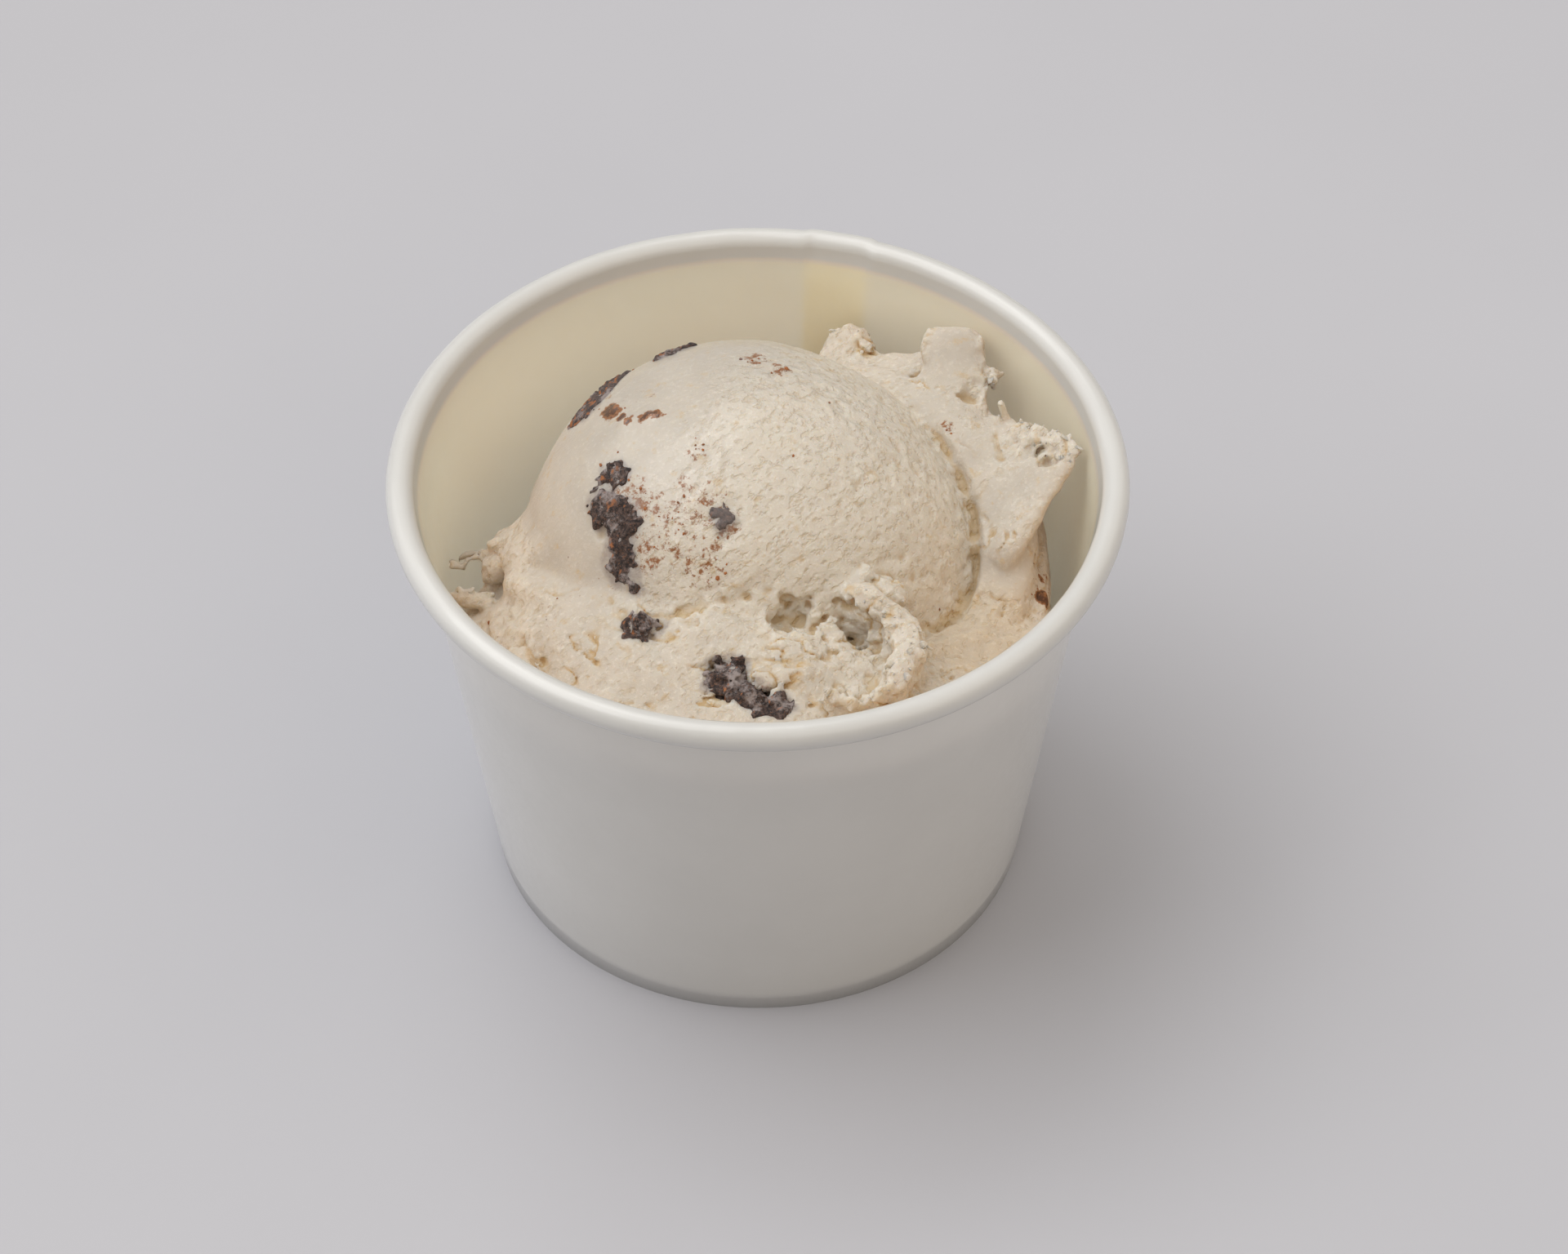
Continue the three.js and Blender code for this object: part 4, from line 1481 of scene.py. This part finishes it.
    def _bed_relief(self, points: np.ndarray, edge: np.ndarray) -> np.ndarray:
        """Depth of the cracks, crags and teeth of the torn ice cream.

        Args:
            points: Places in millimetres, one row each.
            edge: How far each place lies on an edge.

        Returns:
            Depths in millimetres.
        """
        noise = Noise(Seed.BED)
        torn = cover(self.torn, points)
        lump = noise.layers(points, self.lump.size, 3)
        grain = noise.layers(points + self.grain.shift, self.grain.size, 2)
        tooth = noise.layers(points + self.tooth.shift, self.tooth.size, 2)
        warped = points + self.crag_warp * np.column_stack([lump, grain, -lump]).astype(np.float32)
        crag = smooth(0.32, 0.03, np.abs(noise.layers(warped, self.crag.size, 3)))
        cracked = self.crack.depth * self._cracks(points)
        broad = self.lump.depths(torn) * lump + cracked + self.crag.depths(torn) * crag
        teeth = edge * (self.edge_cut + self.tooth.depths(torn) * tooth)
        return (1.0 - self.edge_calm * edge) * broad + self.grain.depths(torn) * grain + teeth

    def _keep_off_paper(self, piece: bpy.types.Object) -> None:
        """Moves vertices in where they come too near the paper.

        Args:
            piece: Piece to change.
        """
        cup = PaperCup()
        places = vertex_places(piece)
        limit = cup.wall_middle(places[:, 2]) - cup.paper / 2 - self.paper_clearance
        share = np.minimum(1.0, limit / np.maximum(np.hypot(places[:, 0], places[:, 1]), 1e-6))
        places[:, :2] *= share[:, None]
        piece.data.vertices.foreach_set("co", (places * MM).ravel())
        piece.data.update()

    def _marks(self, form: VoxelForm, places: np.ndarray) -> dict[Mark, np.ndarray]:
        """Vertex attributes for the finish and what is strewn on it.

        Args:
            form: Finished solid.
            places: Vertices in millimetres.

        Returns:
            Values by attribute.
        """
        near = form.sample(form.field, places)
        fine = form.sample(form.blurred(self.crease_reach), places) - near
        broad = form.sample(form.blurred(self.hollow_reach), places) - near
        above = self.scoop.above(places)
        on_bed = smooth(0.2, 1.0, above)
        torn = cover(self.torn, places)
        smoothed = cover(self.trowelled, places) * on_bed
        noise = Noise(Seed.MARKS)
        soiled = cover(self.crumbly, places)
        crumbs = smooth(0.3, 1.0, soiled) * smooth(-0.2, 0.5, noise.value(places, self.crumb_patch))
        gaps = [
            self._cookie_distance(cookie, places) - SIZE_CHANGE.get(node, 0.0)
            for node, cookie in self.cookies.items()
        ]
        smeared = np.min(gaps, axis=0) + self.smear.depth * noise.layers(places, self.smear.size, 3)
        # Painted light by the left wall, where the wall casts shade: less golden shade and more of the
        # lighter frost.
        pale = 1.0 - self.left_painted_light * smooth(-25.0, -31.0, places[:, 0])
        # Painted shade in creases, broad hollows and cracks, and on the right front.
        crease_shade = self.crease_shade_share * smooth(-0.03, -0.3, fine)
        deep_hollow_shade = self.hollow_shade_share * smooth(-0.3, -2.0, broad)
        # Painted shade over the right front of the bed.
        right_front_shade = cover(self.right_front_shade, places) * on_bed
        cracked = self.crack_shade_share * self._cracks(places) * on_bed * (1.0 - smoothed)
        bed_rough = 1.0 - pale + self.bed_rough + self.torn_rough * torn
        rough = self._roughness(places) * (1.0 - on_bed) + on_bed * bed_rough
        return {
            Mark.HOLLOW_SHADE: pale * np.max([crease_shade, deep_hollow_shade, cracked, right_front_shade], axis=0),
            Mark.HAZE: self.haze_share * smooth(1.0, 0.1, smeared),
            Mark.CRISP: smooth(0.25, 0.8, broad) * on_bed * torn,
            Mark.WET: smooth(0.8, 0.0, np.abs(above)) * smooth(56.0, 65.0, places[:, 2]),
            Mark.STAIN: soiled,
            Mark.CRUMBS: crumbs + self.stray_crumbs * smooth(self.detail_floor, 45.0, places[:, 2]),
            Mark.ROUGH: rough * (1.0 - self.smoothed_calm * smoothed),
        }


@dataclass
class CookiePieces:
    """Cookie pieces bedded flush in the ice cream."""

    voxel: float = 0.2
    margin: float = 2.5
    band: float = 2.4
    grow: float = 0.4
    taper: float = 0.8
    taper_top: float = 59.0
    taper_foot: float = 55.5
    lump: Relief = Relief(1.8, 0.75)
    crumb: Relief = Relief(0.8, 0.55)
    pits: Relief = Relief(0.7, 0.26, shift=30.0)
    proud: float = 0.2
    skirt: float = 0.9
    rusty_side: tuple[float, float, float] = (0.82, -0.42, -0.38)
    rusty_share: float = 0.75
    rusty_patch: float = 0.5
    rusty_shift: float = 50.0

    def build(self, cream: VoxelForm, material: bpy.types.Material) -> None:
        """Builds one piece for each cookie node.

        Args:
            cream: Finished ice cream that the pieces lie in.
            material: Their finish.
        """
        for number, node in enumerate(cookie_nodes()):
            noise = Noise(Seed.COOKIES + number)
            form = VoxelForm(node, self.voxel, self.margin, self.band)
            self._crumble(form, node, cream, noise)
            places, faces = form.skin()
            piece = new_piece(node + "_crumb", places, faces, material)
            normals = np.empty(len(piece.data.vertices) * 3, np.float32)
            piece.data.vertex_normals.foreach_get("vector", normals)
            facing = normals.reshape(-1, 3) @ np.array(self.rusty_side, np.float32)
            patchy = noise.value(places + self.rusty_shift, self.rusty_patch)
            tone = smooth(0.2, 0.8, facing) * smooth(0.0, 0.5, patchy)
            hazed = np.full(len(places), HAZED.get(node, 0.0))
            set_marks(piece, {Mark.TONE: self.rusty_share * tone, Mark.HAZE: hazed})
            finish_piece(piece, Slot.COOKIE, node)

    def _crumble(self, form: VoxelForm, node: str, cream: VoxelForm, noise: Noise) -> None:
        """Makes a cookie piece ragged and cuts it off just over the ice cream.

        Args:
            form: Solid to change.
            node: Name of its node.
            cream: Finished ice cream that it lies in.
            noise: What makes it ragged.
        """
        cells = form.field < self.band - form.voxel
        points = form.points(cells)
        out = points - np.array(Scoop().centre, np.float32)
        out /= np.linalg.norm(out, axis=1)[:, None]
        solid = np.minimum(form.field[cells], form.sample(form.field, points - self.skirt * out))
        wear = self.lump.depth * noise.layers(points, self.lump.size, 2)
        wear += self.crumb.depth * noise.layers(points, self.crumb.size, 2)
        solid += WEAR.get(node, 1.0) * wear
        solid -= self.grow + SIZE_CHANGE.get(node, 0.0)
        if node == "cookie_streak":
            solid += self.taper * smooth(self.taper_top, self.taper_foot, points[:, 2])
        rise = self.proud * smooth(0.0, 0.9, -solid)
        rise += self.pits.depth * noise.layers(points + self.pits.shift, self.pits.size, 2)
        form.field[cells] = np.maximum(solid, cream.sample(cream.field, points) - rise)


@dataclass
class Strewn:
    """Small bits strewn over the ice cream where an attribute says, in millimetres."""

    name: str
    mark: Mark
    slot: Slot
    per_square_mm: float
    smallest: float
    largest: float
    shape: tuple[float, float, float]
    tilt_deg: float
    uneven: float
    seed: int
    jag_scale: float = 2600.0
    rarity: float = 3.0
    stretch: tuple[float, float] = (0.6, 1.3)
    tone: tuple[float, float] = (0.5, 1.0)

    def _strewing_tree(self) -> GeometryTree:
        """Geometry tree that sets ragged bits on a surface.

        Returns:
            The tree.
        """
        kinds = {"Surface": "Geometry", "Shape": "Vector", "Seed": "Int", "Material": "Material"}
        kinds |= dict.fromkeys(("Density", "Smallest", "Largest", "Tilt", "Uneven"), "Float")
        tree = GeometryTree("strewn_" + self.name, kinds)
        given = tree.given
        density = tree.math("MULTIPLY", tree.read(self.mark), given["Density"])
        surface = {"Mesh": given["Surface"], "Density": density, "Seed": given["Seed"]}
        spots = tree.add("GeometryNodeDistributePointsOnFaces", surface).outputs
        span = tree.math("SUBTRACT", given["Largest"], given["Smallest"])
        few_large = tree.math("POWER", tree.draw(0.0, 1.0, 1), self.rarity)
        size = tree.math("MULTIPLY_ADD", few_large, span, given["Smallest"])
        least, most = self.stretch
        limits = {0: (least,) * 3, 1: (most,) * 3, "Seed": 3}
        stretch = tree.add("FunctionNodeRandomValue", limits, data_type="FLOAT_VECTOR").outputs[0]
        scale = tree.vector("SCALE", tree.vector("MULTIPLY", stretch, given["Shape"]), size)
        lean = [tree.math("MULTIPLY", tree.draw(-1.0, 1.0, seed), given["Tilt"]) for seed in (4, 5)]
        angles = tree.join(*lean, tree.draw(0.0, 2.0 * math.pi, 6))
        leaning = tree.add("FunctionNodeEulerToRotation", {0: angles}).outputs[0]
        turns = {"Rotation": spots["Rotation"], "Rotate By": leaning}
        turned = tree.add("FunctionNodeRotateRotation", turns, rotation_space="LOCAL").outputs[0]
        toned = tree.store(spots["Points"], Mark.TONE, tree.draw(*self.tone, 2))
        bit = tree.add("GeometryNodeMeshIcoSphere", {"Radius": 1.0, "Subdivisions": 1}).outputs[0]
        copies = {"Points": toned, "Instance": bit, "Rotation": turned, "Scale": scale}
        bits = tree.add("GeometryNodeInstanceOnPoints", copies).outputs[0]
        single = tree.add("GeometryNodeRealizeInstances", {"Geometry": bits}).outputs[0]
        jag = tree.add("ShaderNodeTexNoise", {"Scale": self.jag_scale, "Detail": 1.0}).outputs["Color"]
        shift = tree.vector("SCALE", tree.vector("SUBTRACT", jag, (0.5,) * 3), given["Uneven"])
        tree.close(tree.add("GeometryNodeSetPosition", {"Geometry": single, "Offset": shift}).outputs[0])
        return tree

    def build(self, surface: bpy.types.Object, material: bpy.types.Material) -> None:
        """Builds the piece.

        Args:
            surface: Piece that the bits lie on.
            material: Their finish.
        """
        values = {
            "Density": self.per_square_mm / MM**2,
            "Smallest": self.smallest * MM,
            "Largest": self.largest * MM,
            "Shape": self.shape,
            "Tilt": math.radians(self.tilt_deg),
            "Uneven": self.uneven * MM,
            "Seed": self.seed,
            "Material": material,
        }
        holder = link_object("strewn_surface", surface.data)
        piece = self._strewing_tree().bake(self.name, holder, values)
        finish_piece(piece, self.slot)


CRUMBS = Strewn(
    name="cookie_crumbs",
    mark=Mark.CRUMBS,
    slot=Slot.COOKIE,
    per_square_mm=2.2,
    smallest=0.05,
    largest=0.3,
    shape=(1.0, 1.0, 0.6),
    tilt_deg=60.0,
    uneven=0.25,
    seed=5,
)
FLAKES = Strewn(
    name="torn_flakes",
    mark=Mark.CRISP,
    slot=Slot.ICE_CREAM,
    per_square_mm=0.6,
    smallest=0.25,
    largest=0.8,
    shape=(0.3, 0.8, 1.0),
    tilt_deg=50.0,
    uneven=0.4,
    seed=9,
)


def swing(first: Vector, second: Vector, angle: float) -> tuple[Vector, Vector]:
    """Two axes turned in their own plane.

    Args:
        first: First axis.
        second: Second axis.
        angle: Turn from the second towards the first, in radians.

    Returns:
        Both axes after the turn.
    """
    cosine = math.cos(angle)
    sine = math.sin(angle)
    return first * cosine - second * sine, first * sine + second * cosine


@dataclass
class PhotoCamera:
    """Camera that stands where the photograph was taken."""

    distance: float = 611.94
    elevation_deg: float = 45.707
    target_height: float = 30.65
    yaw: float = 0.00525
    pitch: float = 0.00332
    roll: float = 0.00395
    focal_pixels: float = 5979.1
    image_width: float = 1920.0
    sensor: float = 36.0
    nearest: float = 0.01

    def build(self) -> None:
        """Makes the camera and sets it as the scene's own."""
        lift = math.radians(self.elevation_deg)
        back = Vector((0.0, -math.cos(lift), math.sin(lift)))
        right = Vector((1.0, 0.0, 0.0))
        up = back.cross(right)
        forward = -back
        right, forward = swing(right, forward, self.yaw)
        up, forward = swing(up, forward, self.pitch)
        right, up = swing(right, up, self.roll)
        data = bpy.data.cameras.new("photo_camera")
        data.sensor_width = self.sensor
        data.lens = self.focal_pixels / self.image_width * self.sensor
        data.clip_start = self.nearest
        camera = link_object("photo_camera", data)
        turn = Matrix((right, up, -forward)).transposed().to_4x4()
        spot = (UP * self.target_height + back * self.distance) * MM
        camera.matrix_world = Matrix.Translation(spot) @ turn
        bpy.context.scene.camera = camera


@dataclass(frozen=True)
class SoftLight:
    """Even light from one side of the sky, as wide as a window or a ceiling."""

    name: str
    side: tuple[float, float, float]
    spread_deg: float
    strength: float
    tint: tuple[float, float, float]

    def build(self) -> None:
        """Makes the light."""
        data = bpy.data.lights.new(self.name, "SUN")
        data.angle = math.radians(self.spread_deg)
        data.energy = self.strength
        data.color = self.tint
        lamp = link_object(self.name, data)
        lamp.location = Vector(self.side)
        lamp.rotation_euler = (-Vector(self.side)).to_track_quat("-Z", "Y").to_euler()


@dataclass
class Studio:
    """Pale table top and soft light."""

    floor_half: float = 3.0
    sky: tuple[float, float, float, float] = (1.0, 0.95, 0.88, 1.0)
    sky_strength: float = 0.28
    lights: tuple[SoftLight, ...] = (
        SoftLight("window_light", (-0.8, 0.15, 0.58), 70.0, 0.87, (1.0, 0.99, 0.97)),
        SoftLight("left_light", (-0.42, 0.05, 0.9), 50.0, 0.93, (1.0, 1.0, 1.0)),
        SoftLight("ceiling_light", (0.0, 0.1, 1.0), 120.0, 0.68, (0.96, 1.0, 1.04)),
        SoftLight("lamp_light", (-0.16, 0.46, 0.86), 28.0, 0.3, (0.98, 1.0, 1.0)),
        SoftLight("warm_light", (0.5, -0.25, 0.84), 70.0, 0.24, (1.0, 0.82, 0.58)),
        SoftLight("right_light", (0.88, 0.1, 0.46), 90.0, 0.36, (1.0, 0.88, 0.74)),
        SoftLight("low_light", (0.45, -0.8, 0.3), 80.0, 0.32, (1.0, 0.78, 0.54)),
    )
    finish: FloorFinish = field(default_factory=FloorFinish)

    def build(self) -> None:
        """Makes the floor, the sky and the lights."""
        half = self.floor_half
        mesh = bpy.data.meshes.new("table_top")
        corners = [(-half, -half, 0.0), (half, -half, 0.0), (half, half, 0.0), (-half, half, 0.0)]
        mesh.from_pydata(corners, [], [(0, 1, 2, 3)])
        mesh.materials.append(self.finish.material())
        floor = link_object("table_top", mesh)
        world = bpy.data.worlds.new("sky")
        world.use_nodes = True
        background = world.node_tree.nodes["Background"].inputs
        background["Color"].default_value = self.sky
        background["Strength"].default_value = self.sky_strength
        bpy.context.scene.world = world
        for light in self.lights:
            light.build()
        bpy.context.scene.view_settings.view_transform = "Standard"


def main() -> None:
    """Builds every piece in order."""
    logging.basicConfig(level=logging.INFO, format="%(message)s")
    PhotoCamera().build()
    Studio().build()
    PaperCup().build()
    cream = CreamFinish().material()
    cookie = CookieFinish().material()
    ice_cream = IceCream()
    scoop = ice_cream.build(cream)
    CookiePieces().build(ice_cream.form, cookie)
    CRUMBS.build(scoop, cookie)
    FLAKES.build(scoop, cream)


if __name__ == "__main__":
    main()
